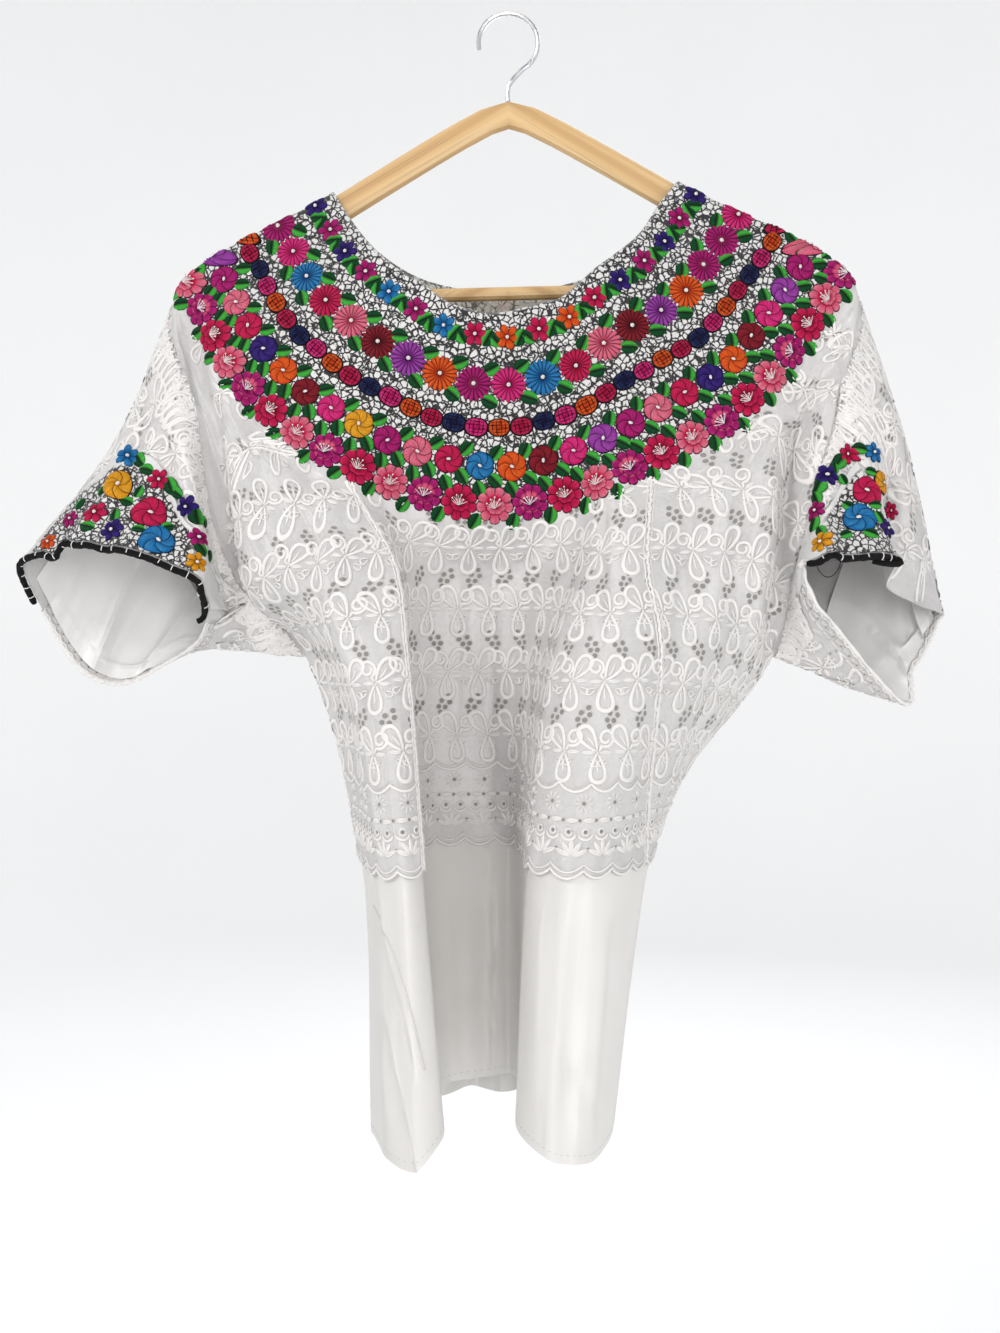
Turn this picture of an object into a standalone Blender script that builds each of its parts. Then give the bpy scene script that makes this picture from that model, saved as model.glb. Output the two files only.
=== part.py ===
"""Huipil blouse on a wooden hanger.

A hip-length blouse of white eyelet lace with a round embroidered yoke, wide sleeves with an
embroidered patch and a black binding, and a plain white under layer that hangs below the lace.
Origin: the inside top of the hanger's hook. +Z up, +X to the right of someone who looks at the
front, the front faces -Y.
"""
import math

import bpy
from mathutils import Vector

# One millimetre in metres; the tables below are in millimetres
MM = 0.001

# Thickness of each cloth, and the gap left between pieces that meet
LACE = 1.5
YOKE = 1.8
UNDER_CLOTH = 1.2
PATCH = 1.4
GAP = 0.3
LEAST_PULL = 0.3

# Heights that all the body's columns pass through
CHEST_Z = -408
UNDERARM_Z = -468
BLADE_SHARE = 0.45

# Segments between one level and the next, from the neck down
LEVELS = ("neck", "edge", "blade", "chest", "underarm", "hem", "tail")
LEVEL_STEPS = (6, 4, 4, 3, 7, 8)
ROW = {name: sum(LEVEL_STEPS[:i]) for i, name in enumerate(LEVELS)}
COLUMN_STEPS = 2
BACK_STEPS = 3

# Folds of the front, from the wearer's right to left. Each row is one line from neck to hem:
# name, neck x y z, yoke's edge x y z, bulge under it, chest x y, underarm x y,
# lace hem x y z, tail x y z
FRONT = (
    ("side_left", (-133, 0, -130), (-245, 0, -200), 26, (-200, -36), (-152, -5),
     (-112, -25, -608), (-105, -20, -806)),
    ("arm_left", (-123, -13, -148), (-232, -16, -225), 12, (-182, -49), (-130, -44),
     (-103, -66, -610), (-96, -62, -801)),
    ("lobe_left", (-105, -25, -174), (-202, -36, -277), 4, (-146, -70), (-114, -86),
     (-90, -98, -612), (-84, -106, -797)),
    ("crest_left", (-87, -30, -192), (-157, -48, -320), 2, (-110, -77), (-91, -98),
     (-74, -113, -611), (-65, -128, -796)),
    ("seam_left", (-67, -33, -205), (-113, -52, -346), 0, (-82, -68), (-73, -88),
     (-61, -100, -609), (-46, -112, -778)),
    ("recess_left", (-50, -35, -218), (-88, -42, -356), 0, (-76, -38), (-81, -34),
     (-73, -28, -606), (-61, -22, -781)),
    ("recess_a", (-32, -36, -225), (-57, -37, -365), 0, (-57, -20), (-58, -4),
     (-57, 6, -605), (-47, 16, -784)),
    ("recess_b", (-11, -36, -227), (-18, -36, -371), 0, (-20, -16), (-23, 0),
     (-29, 12, -605), (-21, 22, -782)),
    ("recess_right", (7, -35, -223), (17, -36, -368), 0, (16, -22), (3, -8),
     (-5, 4, -604), (-4, 14, -777)),
    ("wall_right", (21, -34, -219), (43, -42, -362), 0, (39, -42), (20, -42),
     (6, -40, -606), (-1, -42, -777)),
    ("edge_right", (33, -33, -215), (59, -53, -357), 0, (50, -70), (28, -84),
     (9, -96, -608), (0, -106, -779)),
    ("crest_right", (45, -32, -205), (70, -55, -353), 0, (64, -82), (52, -102),
     (34, -116, -610), (21, -130, -788)),
    ("outer_right", (58, -31, -193), (79, -54, -349), 0, (76, -84), (74, -102),
     (66, -100, -610), (47, -112, -796)),
    ("seam_right", (70, -29, -184), (93, -52, -342), 0, (88, -80), (96, -92),
     (88, -66, -609), (62, -76, -798)),
    ("lobe_right", (89, -23, -167), (161, -38, -304), 4, (138, -62), (136, -64),
     (97, -34, -608), (70, -38, -800)),
    ("arm_right", (104, -13, -143), (229, -16, -221), 12, (180, -46), (167, -30),
     (100, -2, -607), (73, -4, -802)),
    ("side_right", (119, 0, -122), (246, 0, -194), 26, (197, -36), (187, -4),
     (94, 26, -606), (68, 24, -803)),
)

# Folds of the back, between the same two side lines, in the same columns
BACK = (
    ("back_arm_left", (-123, 13, -147), (-232, 16, -224), -12, (-185, 34), (-137, 40),
     (-106, 22, -607), (-100, 28, -806)),
    ("back_lobe_left", (-100, 24, -168), (-196, 32, -282), -4, (-140, 52), (-112, 60),
     (-90, 56, -608), (-84, 62, -804)),
    ("back_fold_left", (-72, 29, -184), (-135, 40, -328), 0, (-98, 50), (-80, 52),
     (-64, 44, -608), (-58, 44, -802)),
    ("back_mid_left", (-40, 31, -192), (-70, 44, -346), 0, (-56, 58), (-48, 66),
     (-38, 64, -609), (-34, 70, -802)),
    ("back_centre", (-6, 32, -196), (-4, 44, -352), 0, (-8, 50), (-8, 50),
     (-8, 46, -609), (-8, 48, -800)),
    ("back_mid_right", (28, 31, -191), (62, 44, -345), 0, (44, 58), (38, 66),
     (24, 66, -609), (18, 72, -800)),
    ("back_fold_right", (62, 29, -181), (128, 40, -325), 0, (94, 50), (88, 52),
     (54, 52, -608), (40, 54, -801)),
    ("back_lobe_right", (90, 24, -165), (192, 32, -278), -4, (142, 50), (134, 58),
     (80, 64, -607), (60, 68, -802)),
    ("back_arm_right", (106, 13, -141), (231, 16, -218), -12, (184, 34), (166, 38),
     (92, 48, -606), (68, 48, -803)),
)

# The cloth's round top over the hanger's arm: how far its next line lies out and down
RIDGE_OUT = 8.5
RIDGE_DOWN = 2.8
RIDGE_SHARE = 0.1
RIDGE_SHARE_BELOW = 0.5

# Sleeves. Each row is a line along the sleeve: its place round the ring (0 on the top fold,
# 1 under the arm, 2 on the top fold again), a middle point x y z, a cuff point x y z
SLEEVE_LEFT = (
    (0.00, (-291, -12, -317), (-349, -30, -401)),
    (0.17, (-270, -34, -316), (-322, -50, -393)),
    (0.35, (-254, -46, -338), (-293, -66, -390)),
    (0.55, (-233, -52, -369), (-251, -74, -398)),
    (0.75, (-211, -46, -405), (-221, -66, -415)),
    (0.90, (-198, -29, -439), (-213, -48, -433)),
    (1.00, (-190, -8, -463), (-224, -18, -452)),
    (1.20, (-223, 20, -434), (-263, 14, -476)),
    (1.45, (-257, 28, -406), (-300, 20, -488)),
    (1.65, (-279, 24, -365), (-325, 14, -473)),
    (1.85, (-292, 8, -329), (-346, -6, -428)),
)
SLEEVE_RIGHT = (
    (0.00, (282, -8, -311), (307, -12, -436)),
    (0.12, (269, -30, -312), (284, -32, -431)),
    (0.22, (259, -34, -315), (262, -38, -420)),
    (0.34, (243, -48, -337), (264, -60, -399)),
    (0.52, (218, -54, -367), (231, -74, -399)),
    (0.68, (201, -52, -391), (205, -72, -403)),
    (0.80, (196, -40, -422), (195, -58, -410)),
    (0.90, (207, -23, -452), (225, -36, -448)),
    (1.00, (227, -4, -482), (270, -6, -492)),
    (1.30, (268, 26, -440), (294, 12, -476)),
    (1.60, (287, 24, -380), (307, 12, -455)),
    (1.85, (287, 8, -330), (310, 0, -440)),
)
RING_TURN = 2.0
ABOVE_PATCH_STEPS = 5
PATCH_STEPS = 4
PATCH_DEPTH = 0.58
PATCH_LEAST = 0.12
PATCH_ROUND = 0.7
BACK_BAND = 0.88

# Embroidered patch, lining that shows and black binding: first and last column round the ring
PATCH_COLUMNS = {"left": (1, 10), "right": (4, 9)}
LINING_COLUMNS = (12, 21)
LINING_TOP = 2
BINDING_COLUMNS = {"left": (0, 10), "right": (4, 8)}
BINDING_RADIUS = 2.4
BINDING_GAP = 0.7
BINDING_SIDES = 8

# Hanger: two arms in one bent piece of wood, a round bar and a steel hook. It hangs a little
# askew, rising towards +X, and the blouse sits a little aside on it
HUNG_ASIDE = Vector((5, 0, 0))
ARM_PEAK_Z = -51.8
ARM_SLOPE = 0.605
ARM_TILT = 0.025
ARM_ROUNDING = 18
ARM_HALF_LENGTH = 222
ARM_HEIGHT = 20
ARM_DEPTH = 11
ARM_CORNER = 5.3
ARM_STEPS = 22
BAR_Z = -203
BAR_RADIUS = 5
BAR_SIDES = 12
HOOK_ROD = 1.75
HOOK_INSIDE = 20
HOOK_SIDES = 8
HOOK_STEP = 12

# Colour, roughness and metallic value of each material
FINISHES = {
    "lace": ((0.86, 0.86, 0.88), 0.75, 0.0),
    "under_cloth": ((0.88, 0.87, 0.85), 0.8, 0.0),
    "embroidery": ((0.62, 0.05, 0.16), 0.55, 0.0),
    "patch": ((0.55, 0.10, 0.30), 0.55, 0.0),
    "binding": ((0.01, 0.01, 0.012), 0.7, 0.0),
    "wood": ((0.78, 0.58, 0.34), 0.45, 0.0),
    "steel": ((0.62, 0.63, 0.65), 0.3, 1.0),
}


def finish(name):
    """One material by its name, made once."""
    if name in bpy.data.materials:
        return bpy.data.materials[name]
    colour, roughness, metallic = FINISHES[name]
    material = bpy.data.materials.new(name)
    material.use_nodes = True
    shader = material.node_tree.nodes["Principled BSDF"]
    shader.inputs["Base Color"].default_value = (*colour, 1.0)
    shader.inputs["Roughness"].default_value = roughness
    shader.inputs["Metallic"].default_value = metallic
    return material


def add_object(name, points, faces, finish_name, sharp_angle=40):
    """A named mesh object from points in millimetres."""
    mesh = bpy.data.meshes.new(name)
    mesh.from_pydata([tuple(p * MM) for p in points], [], faces)
    mesh.shade_smooth()
    mesh.set_sharp_from_angle(angle=math.radians(sharp_angle))
    mesh.materials.append(finish(finish_name))
    made = bpy.data.objects.new(name, mesh)
    bpy.context.scene.collection.objects.link(made)
    return made


def slopes(points, knots, turn):
    """Slope of a smooth curve at each of its points; turn is a closed ring's whole length."""
    last = len(points) - 1
    result = []
    for i, point in enumerate(points):
        if turn:
            before = points[i - 1]
            after = points[(i + 1) % len(points)]
            step_in = (knots[i] - knots[i - 1]) % turn
            step_out = (knots[(i + 1) % len(points)] - knots[i]) % turn
        elif i in (0, last):
            near = 1 if i == 0 else last - 1
            result.append((points[near] - point) / (knots[near] - knots[i]))
            continue
        else:
            before = points[i - 1]
            after = points[i + 1]
            step_in = knots[i] - knots[i - 1]
            step_out = knots[i + 1] - knots[i]
        slope_in = (point - before) / step_in
        slope_out = (after - point) / step_out
        result.append((slope_in * step_out + slope_out * step_in) / (step_in + step_out))
    return result


def between(start, end, slope_start, slope_end, length, share):
    """Point on the smooth curve that joins two points with the given slopes."""
    s2 = share * share
    s3 = s2 * share
    return (start * (2 * s3 - 3 * s2 + 1) + end * (3 * s2 - 2 * s3)
            + slope_start * (length * (s3 - 2 * s2 + share)) + slope_end * (length * (s3 - s2)))


def through(points, steps, closed=False):
    """Smooth curve through the points, with steps[i] segments in each stretch."""
    knots = [0.0]
    for first, second in zip(points, points[1:]):
        knots.append(knots[-1] + math.sqrt((second - first).length))
    turn = knots[-1] + math.sqrt((points[0] - points[-1]).length) if closed else 0.0
    slope = slopes(points, knots, turn)
    result = []
    for i, count in enumerate(steps):
        following = (i + 1) % len(points)
        length = (turn if following == 0 else knots[following]) - knots[i]
        for k in range(count):
            result.append(between(points[i], points[following], slope[i], slope[following],
                                  length, k / count))
    if not closed:
        result.append(points[-1].copy())
    return result


def ring_at(places, points, place):
    """Point of a closed ring at a place from 0 to RING_TURN."""
    place = place % RING_TURN
    slope = slopes(points, places, RING_TURN)
    i = max(k for k, knot in enumerate(places) if knot <= place + 1e-9)
    following = (i + 1) % len(points)
    length = (places[following] - places[i]) % RING_TURN
    return between(points[i], points[following], slope[i], slope[following], length,
                   (place - places[i]) / length)


def column_levels(row):
    """The points of one fold, level by level."""
    _, neck, edge, bulge, chest, underarm, hem, tail = row
    neck, edge = Vector(neck), Vector(edge)
    chest = Vector((*chest, CHEST_Z))
    blade = edge.lerp(chest, BLADE_SHARE) - Vector((0, bulge, 0))
    levels = [neck, edge, blade, chest, Vector((*underarm, UNDERARM_Z)), Vector(hem), Vector(tail)]
    return [level + HUNG_ASIDE for level in levels]


def mirrored_armhole(levels):
    """The side line of the back: it leaves the front's between the shoulder and the underarm."""
    result = [p.copy() for p in levels]
    for name in ("blade", "chest"):
        result[LEVELS.index(name)].y *= -1
    return result


def ridge_levels(side, arm):
    """A line close beside the side line, which rounds the cloth over the hanger's arm."""
    out = RIDGE_OUT if arm[0].y > side[0].y else -RIDGE_OUT
    result = []
    for name, first, second in zip(LEVELS, side, arm):
        if name in ("neck", "edge"):
            point = first.lerp(second, RIDGE_SHARE)
            point.y = first.y + out
            point.z = first.z - RIDGE_DOWN
        else:
            point = first.lerp(second, RIDGE_SHARE_BELOW)
        result.append(point)
    return result


def body_grids():
    """Outer points of the front and of the back, rows from neck to tail, columns along +X."""
    front = [column_levels(row) for row in FRONT]
    back = [column_levels(row) for row in BACK]
    back = [mirrored_armhole(front[0]), *back, mirrored_armhole(front[-1])]
    lines = []
    for levels in (front, back):
        levels = [levels[0], ridge_levels(levels[0], levels[1]), *levels[1:-1],
                  ridge_levels(levels[-1], levels[-2]), levels[-1]]
        lines.append([through(column, LEVEL_STEPS) for column in levels])
        for column, line in ((levels[0], lines[-1][0]), (levels[-1], lines[-1][-1])):
            for row in range(ROW["edge"]):
                line[row] = column[0].lerp(column[1], row / ROW["edge"])
    front, back = lines
    front_steps = [1, *[COLUMN_STEPS] * (len(front) - 3), 1]
    back_steps = [1, *[BACK_STEPS] * (len(back) - 3), 1]
    front_rows, back_rows = [], []
    for row in range(sum(LEVEL_STEPS) + 1):
        across_front = [line[row] for line in front]
        across_back = [line[row] for line in back]
        if ROW["edge"] < row < ROW["underarm"]:
            front_rows.append(through(across_front, front_steps))
            back_rows.append(through(across_back, back_steps))
            continue
        ring = through(across_front + across_back[-2:0:-1], front_steps + back_steps, closed=True)
        split = sum(front_steps)
        front_rows.append(ring[:split + 1])
        back_rows.append([ring[0], *reversed(ring[split:])])
    return front_rows, back_rows


def patch_line(place):
    """How far down the sleeve the patch's round outline lies, from 0 at the armhole to 1."""
    if place >= 1:
        return BACK_BAND
    return 1 - max(PATCH_LEAST, PATCH_DEPTH * math.sin(math.pi * place) ** PATCH_ROUND)


def sleeve_grid(table, front_armhole, back_armhole):
    """Outer points of one sleeve: a closed ring of columns, each from armhole to cuff."""
    places = [row[0] for row in table]
    middles = [Vector(row[1]) + HUNG_ASIDE for row in table]
    cuffs = [Vector(row[2]) + HUNG_ASIDE for row in table]
    armhole = front_armhole + back_armhole[-2:0:-1]
    half = len(front_armhole) - 1
    grid = []
    for i, start in enumerate(armhole):
        place = i / half
        middle = ring_at(places, middles, place)
        cuff = ring_at(places, cuffs, place)
        column = []
        for share in sleeve_shares(place):
            column.append(start if share == 0 else three_point(start, middle, cuff, share))
        grid.append(column)
    return grid


def sleeve_shares(place):
    """The steps down one column: even above the patch's outline, and even below it."""
    line = patch_line(place)
    above = [line * k / ABOVE_PATCH_STEPS for k in range(ABOVE_PATCH_STEPS)]
    below = [line + (1 - line) * k / PATCH_STEPS for k in range(PATCH_STEPS + 1)]
    return above + below


def three_point(start, middle, end, share):
    """Smooth curve from start through middle to end, at a share of its length."""
    first = (middle - start).length
    total = first + (end - middle).length
    slope = slopes([start, middle, end], [0.0, first, total], 0.0)
    along = share * total
    if along <= first:
        return between(start, middle, slope[0], slope[1], first, along / first)
    return between(middle, end, slope[1], slope[2], total - first,
                   (along - first) / (total - first))


def grid_faces(rows, columns, offset, flip, closed=False):
    """Triangles of a grid of points listed row by row; closed joins the last row to the first.

    Every quad is split along the same diagonal, so that copies of a grid moved out or in stay
    parallel to it.
    """
    faces = []
    for r in range(rows if closed else rows - 1):
        here = offset + r * columns
        below = offset + (r + 1) % rows * columns
        for c in range(columns - 1):
            for face in ((here + c, below + c, below + c + 1), (here + c, below + c + 1, here + c + 1)):
                faces.append(face[::-1] if flip else face)
    return faces


def key(point):
    return tuple(point)


def shared_normals(grids):
    """Outward direction at each point, averaged over all the grids that meet there."""
    sums = {}
    for grid, flip, closed in grids:
        columns = len(grid[0])
        points = [p for row in grid for p in row]
        for face in grid_faces(len(grid), columns, 0, flip, closed):
            a, b, c = (points[i] for i in face)
            normal = (b - a).cross(c - a)
            for corner in (a, b, c):
                sums[key(corner)] = sums.get(key(corner), Vector((0, 0, 0))) + normal
    return {place: total.normalized() for place, total in sums.items()}


def block(grid, rows, columns):
    """Part of a grid: first and last row, first and last column."""
    return [row[columns[0]:columns[1] + 1] for row in grid[rows[0]:rows[1] + 1]]


def inward_lines(edge, inner, closed=False):
    """Direction of an edge, and the direction square to it towards the next line, per point."""
    lines = []
    for i, point in enumerate(edge):
        before = edge[i - 1] if i or closed else point
        after = edge[(i + 1) % len(edge)] if i < len(edge) - 1 or closed else point
        along = (after - before).normalized()
        inward = inner[i] - point
        lines.append((along, (inward - along * inward.dot(along)).normalized()))
    return lines


def pull_in(edge, inner, normals, closed):
    """Moves that leave half a gap beside a seam, also where two walls meet in a sharp valley."""
    moves = []
    for point, (along, inward) in zip(edge, inward_lines(edge, inner, closed)):
        aside = along.cross(normals[key(point)]).normalized()
        share = max(abs(inward.dot(aside)), LEAST_PULL)
        moves.append(inward * (GAP / 2 / share))
    return moves


def trimmed(points, normals, closed):
    """Edges of a block moved in by half a gap, so that neighbours stay a gap apart."""
    result = [[p.copy() for p in row] for row in points]
    if not closed:
        for edge, inner in ((0, 1), (-1, -2)):
            for c, move in enumerate(pull_in(points[edge], points[inner], normals, False)):
                result[edge][c] += move
    for edge, inner in ((0, 1), (-1, -2)):
        first = [row[edge] for row in points]
        second = [row[inner] for row in points]
        for r, move in enumerate(pull_in(first, second, normals, closed)):
            result[r][edge] += move
    return result


def wall(name, points, normals, lift, thickness, flip, finish_name, closed=False):
    """Cloth wall: its outer face lies lift above the points, its inner face thickness below."""
    rows, columns = len(points), len(points[0])
    moved = trimmed(points, normals, closed)
    outer, inner = [], []
    for r in range(rows):
        for c in range(columns):
            normal = normals[key(points[r][c])]
            outer.append(moved[r][c] + normal * lift)
            inner.append(moved[r][c] + normal * (lift - thickness))
    count = rows * columns
    faces = grid_faces(rows, columns, 0, flip, closed)
    faces += grid_faces(rows, columns, count, not flip, closed)
    rims = [[r * columns for r in range(rows)], [r * columns + columns - 1 for r in range(rows)]]
    if closed:
        rims = [rim + rim[:1] for rim in rims]
        rims[0].reverse()
    else:
        top = list(range(columns))
        bottom = [(rows - 1) * columns + c for c in range(columns)]
        rims = [list(reversed(rims[0])) + top[1:] + rims[1][1:] + list(reversed(bottom))[1:]]
    flat = [p for row in points for p in row]
    for rim in rims:
        for a, b in zip(rim, rim[1:]):
            if key(flat[a]) < key(flat[b]):
                pair = ((a, b, b + count), (a, b + count, a + count))
            else:
                pair = ((a, b, a + count), (b, b + count, a + count))
            faces.extend(face[::-1] if flip else face for face in pair)
    return add_object(name, outer + inner, faces, finish_name)


def tube(name, path, radius, sides, finish_name):
    """Round tube with filled ends along a path of points."""
    points, faces = [], []
    across = Vector((0, 0, 0))
    for i, centre in enumerate(path):
        ahead = (path[min(i + 1, len(path) - 1)] - path[max(i - 1, 0)]).normalized()
        if i == 0:
            across = ahead.orthogonal().normalized()
        across = (across - ahead * across.dot(ahead)).normalized()
        up = ahead.cross(across)
        for k in range(sides):
            angle = 2 * math.pi * k / sides
            points.append(centre + (across * math.cos(angle) + up * math.sin(angle)) * radius)
    for i in range(len(path) - 1):
        for k in range(sides):
            following = (k + 1) % sides
            faces.append((i * sides + k, i * sides + following,
                          (i + 1) * sides + following, (i + 1) * sides + k))
    faces.append(tuple(reversed(range(sides))))
    faces.append(tuple((len(path) - 1) * sides + k for k in range(sides)))
    return add_object(name, points, faces, finish_name, sharp_angle=60)


def yoke(front, back, normals):
    rows = (0, ROW["edge"])
    wall("yoke_front", block(front, rows, (0, len(front[0]) - 1)), normals, 0, YOKE, False,
         "embroidery")
    wall("yoke_back", block(back, rows, (0, len(back[0]) - 1)), normals, 0, YOKE, True,
         "embroidery")


def seam_column(name):
    """Grid column of a fold of the front, after the ridge line that follows the first fold."""
    index = [row[0] for row in FRONT].index(name)
    return 1 + COLUMN_STEPS * index


def body(front, back, normals):
    rows = (ROW["edge"], ROW["hem"])
    left = seam_column("seam_left")
    right = seam_column("seam_right")
    last = len(front[0]) - 1
    for name, columns in (("body_front_left", (0, left)), ("body_front", (left, right)),
                          ("body_front_right", (right, last))):
        wall(name, block(front, rows, columns), normals, 0, LACE, False, "lace")
    wall("body_back", block(back, rows, (0, len(back[0]) - 1)), normals, 0, LACE, True, "lace")


def tail(front, back, normals):
    rows = (ROW["hem"] - 1, ROW["tail"])
    lift = -(LACE + GAP)
    wall("tail_front", block(front, rows, (0, len(front[0]) - 1)), normals, lift, UNDER_CLOTH,
         False, "under_cloth")
    wall("tail_back", block(back, rows, (0, len(back[0]) - 1)), normals, lift, UNDER_CLOTH,
         True, "under_cloth")


def sleeve(side, grid, flip, normals):
    """One sleeve with its patch, its lining where it shows, and its black binding."""
    wall(f"sleeve_{side}", grid, normals, 0, LACE, flip, "lace", closed=True)
    last = len(grid[0]) - 1
    patch = block(grid, PATCH_COLUMNS[side], (ABOVE_PATCH_STEPS, last))
    wall(f"patch_{side}", patch, normals, GAP + PATCH, PATCH, flip, "patch")
    lining = block(grid, LINING_COLUMNS, (LINING_TOP, last))
    wall(f"lining_{side}", lining, normals, -(LACE + GAP), UNDER_CLOTH, flip, "under_cloth")
    first, final = BINDING_COLUMNS[side]
    cuff = [column[last] for column in grid]
    lines = inward_lines(cuff, [column[last - 1] for column in grid], closed=True)
    path = []
    for point, (_, inward) in list(zip(cuff, lines))[first:final + 1]:
        middle = point - normals[key(point)] * (LACE / 2)
        path.append(middle - inward * (BINDING_RADIUS + BINDING_GAP))
    tube(f"binding_{side}", path, BINDING_RADIUS, BINDING_SIDES, "binding")


def arm_top(x):
    """Height of the hanger's top edge."""
    return ARM_PEAK_Z - ARM_SLOPE * math.hypot(x, ARM_ROUNDING) + ARM_TILT * x


def arm_section():
    """Round-cornered section of an arm: offsets across the arm, and down from its top."""
    half = ARM_DEPTH / 2
    points = []
    for turn, (y, z) in enumerate(((half, 0), (-half, 0), (-half, -ARM_HEIGHT), (half, -ARM_HEIGHT))):
        centre_y = y - math.copysign(ARM_CORNER, y)
        centre_z = z - ARM_CORNER if z == 0 else z + ARM_CORNER
        for k in range(3):
            angle = math.radians(90 * turn + 45 * k)
            points.append((centre_y + ARM_CORNER * math.cos(angle),
                           centre_z + ARM_CORNER * math.sin(angle)))
    return points


def hanger_arms():
    section = arm_section()
    count = len(section)
    points, faces = [], []
    for i in range(ARM_STEPS + 1):
        x = -ARM_HALF_LENGTH + 2 * ARM_HALF_LENGTH * i / ARM_STEPS
        fall = -ARM_SLOPE * x / math.hypot(x, ARM_ROUNDING) + ARM_TILT
        up = Vector((-fall, 0, 1)).normalized()
        for y, z in section:
            points.append(Vector((x, y, arm_top(x))) + up * z)
    for i in range(ARM_STEPS):
        for k in range(count):
            following = (k + 1) % count
            faces.append((i * count + k, i * count + following,
                          (i + 1) * count + following, (i + 1) * count + k))
    faces.append(tuple(reversed(range(count))))
    faces.append(tuple(ARM_STEPS * count + k for k in range(count)))
    add_object("hanger_arms", points, faces, "wood", sharp_angle=50)


def hanger_bar():
    """Round bar between the arms, with its ends cut along their undersides."""
    points, faces = [], []
    for side in (-1, 1):
        lean = math.hypot(1, ARM_SLOPE - side * ARM_TILT)
        for k in range(BAR_SIDES):
            angle = 2 * math.pi * k / BAR_SIDES
            level = BAR_Z + BAR_RADIUS * math.sin(angle)
            run = (ARM_PEAK_Z - (ARM_HEIGHT + GAP) * lean - level) / ARM_SLOPE
            reach = side * math.sqrt(run * run - ARM_ROUNDING * ARM_ROUNDING)
            points.append(Vector((reach, BAR_RADIUS * math.cos(angle), level + ARM_TILT * reach)))
    for k in range(BAR_SIDES):
        following = (k + 1) % BAR_SIDES
        faces.append((k, following, BAR_SIDES + following, BAR_SIDES + k))
    faces.append(tuple(reversed(range(BAR_SIDES))))
    faces.append(tuple(BAR_SIDES + k for k in range(BAR_SIDES)))
    add_object("hanger_bar", points, faces, "wood", sharp_angle=50)


def hanger_hook():
    """Steel rod from the arms' top, round over the origin and down to a free end."""
    radius = HOOK_INSIDE + HOOK_ROD
    foot = arm_top(0) + GAP
    path = [Vector((0, 0, foot)), Vector((0, 0, (foot - HOOK_INSIDE - radius) / 2))]
    for angle in range(-60, 201, HOOK_STEP):
        turn = math.radians(angle)
        path.append(Vector((radius * math.cos(turn), 0,
                            -HOOK_INSIDE + radius * math.sin(turn))))
    tube("hanger_hook", through(path, [2, 4, *[1] * (len(path) - 3)]), HOOK_ROD, HOOK_SIDES,
         "steel")


def main():
    for old in list(bpy.data.objects):
        bpy.data.objects.remove(old, do_unlink=True)
    front, back = body_grids()
    armhole = slice(ROW["edge"], ROW["underarm"] + 1)
    left = sleeve_grid(SLEEVE_LEFT, [row[0] for row in front[armhole]],
                       [row[0] for row in back[armhole]])
    right = sleeve_grid(SLEEVE_RIGHT, [row[-1] for row in front[armhole]],
                        [row[-1] for row in back[armhole]])
    normals = shared_normals(((front, False, False), (back, True, False),
                              (left, True, True), (right, False, True)))
    yoke(front, back, normals)
    body(front, back, normals)
    tail(front, back, normals)
    sleeve("left", left, True, normals)
    sleeve("right", right, False, normals)
    hanger_arms()
    hanger_bar()
    hanger_hook()


main()
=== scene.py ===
"""Looks of a huipil blouse on a wooden hanger: cloth, lace, embroidery, trims, wood and light.

The folds' tables and the curves through them are the same as in the CAD source, with more steps,
so that each cloth lies on its solid's form. Tables are in millimetres; meshes are in metres.
"""
import math

import bpy
import numpy as np
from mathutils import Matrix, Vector


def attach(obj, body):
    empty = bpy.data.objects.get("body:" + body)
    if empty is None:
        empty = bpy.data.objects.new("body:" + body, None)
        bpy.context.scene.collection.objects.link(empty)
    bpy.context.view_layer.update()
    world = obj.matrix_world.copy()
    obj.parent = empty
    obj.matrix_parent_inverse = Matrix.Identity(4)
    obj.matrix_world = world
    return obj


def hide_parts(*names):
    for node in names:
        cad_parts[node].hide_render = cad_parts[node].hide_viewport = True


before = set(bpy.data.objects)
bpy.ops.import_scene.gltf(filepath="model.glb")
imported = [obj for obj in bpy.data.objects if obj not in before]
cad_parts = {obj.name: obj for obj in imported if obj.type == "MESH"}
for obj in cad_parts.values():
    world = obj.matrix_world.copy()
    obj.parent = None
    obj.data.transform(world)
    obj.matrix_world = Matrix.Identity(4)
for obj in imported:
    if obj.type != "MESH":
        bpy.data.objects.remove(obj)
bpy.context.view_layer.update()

# One millimetre in metres
MM = 0.001

# Thickness of each cloth, the gap between layers, how far the under layer's outer face lies
# from the lace's, and the radius of the neck's edge
LACE = 1.5
YOKE = 1.8
UNDER_CLOTH = 1.2
PATCH = 1.4
GAP = 0.3
UNDER_LIFT = -(LACE + GAP)
NECK_RADIUS = 1.15

# Heights that all the body's columns pass through
CHEST_Z = -408
UNDERARM_Z = -468
BLADE_SHARE = 0.45

# Segments between one level and the next, from the neck down, and between folds
LEVELS = ("neck", "edge", "blade", "chest", "underarm", "hem", "tail")
LEVEL_STEPS = (24, 16, 16, 12, 28, 32)
ROW = {name: sum(LEVEL_STEPS[:i]) for i, name in enumerate(LEVELS)}
RIDGE_STEPS = 5
COLUMN_STEPS = 10
BACK_STEPS = 14

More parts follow.
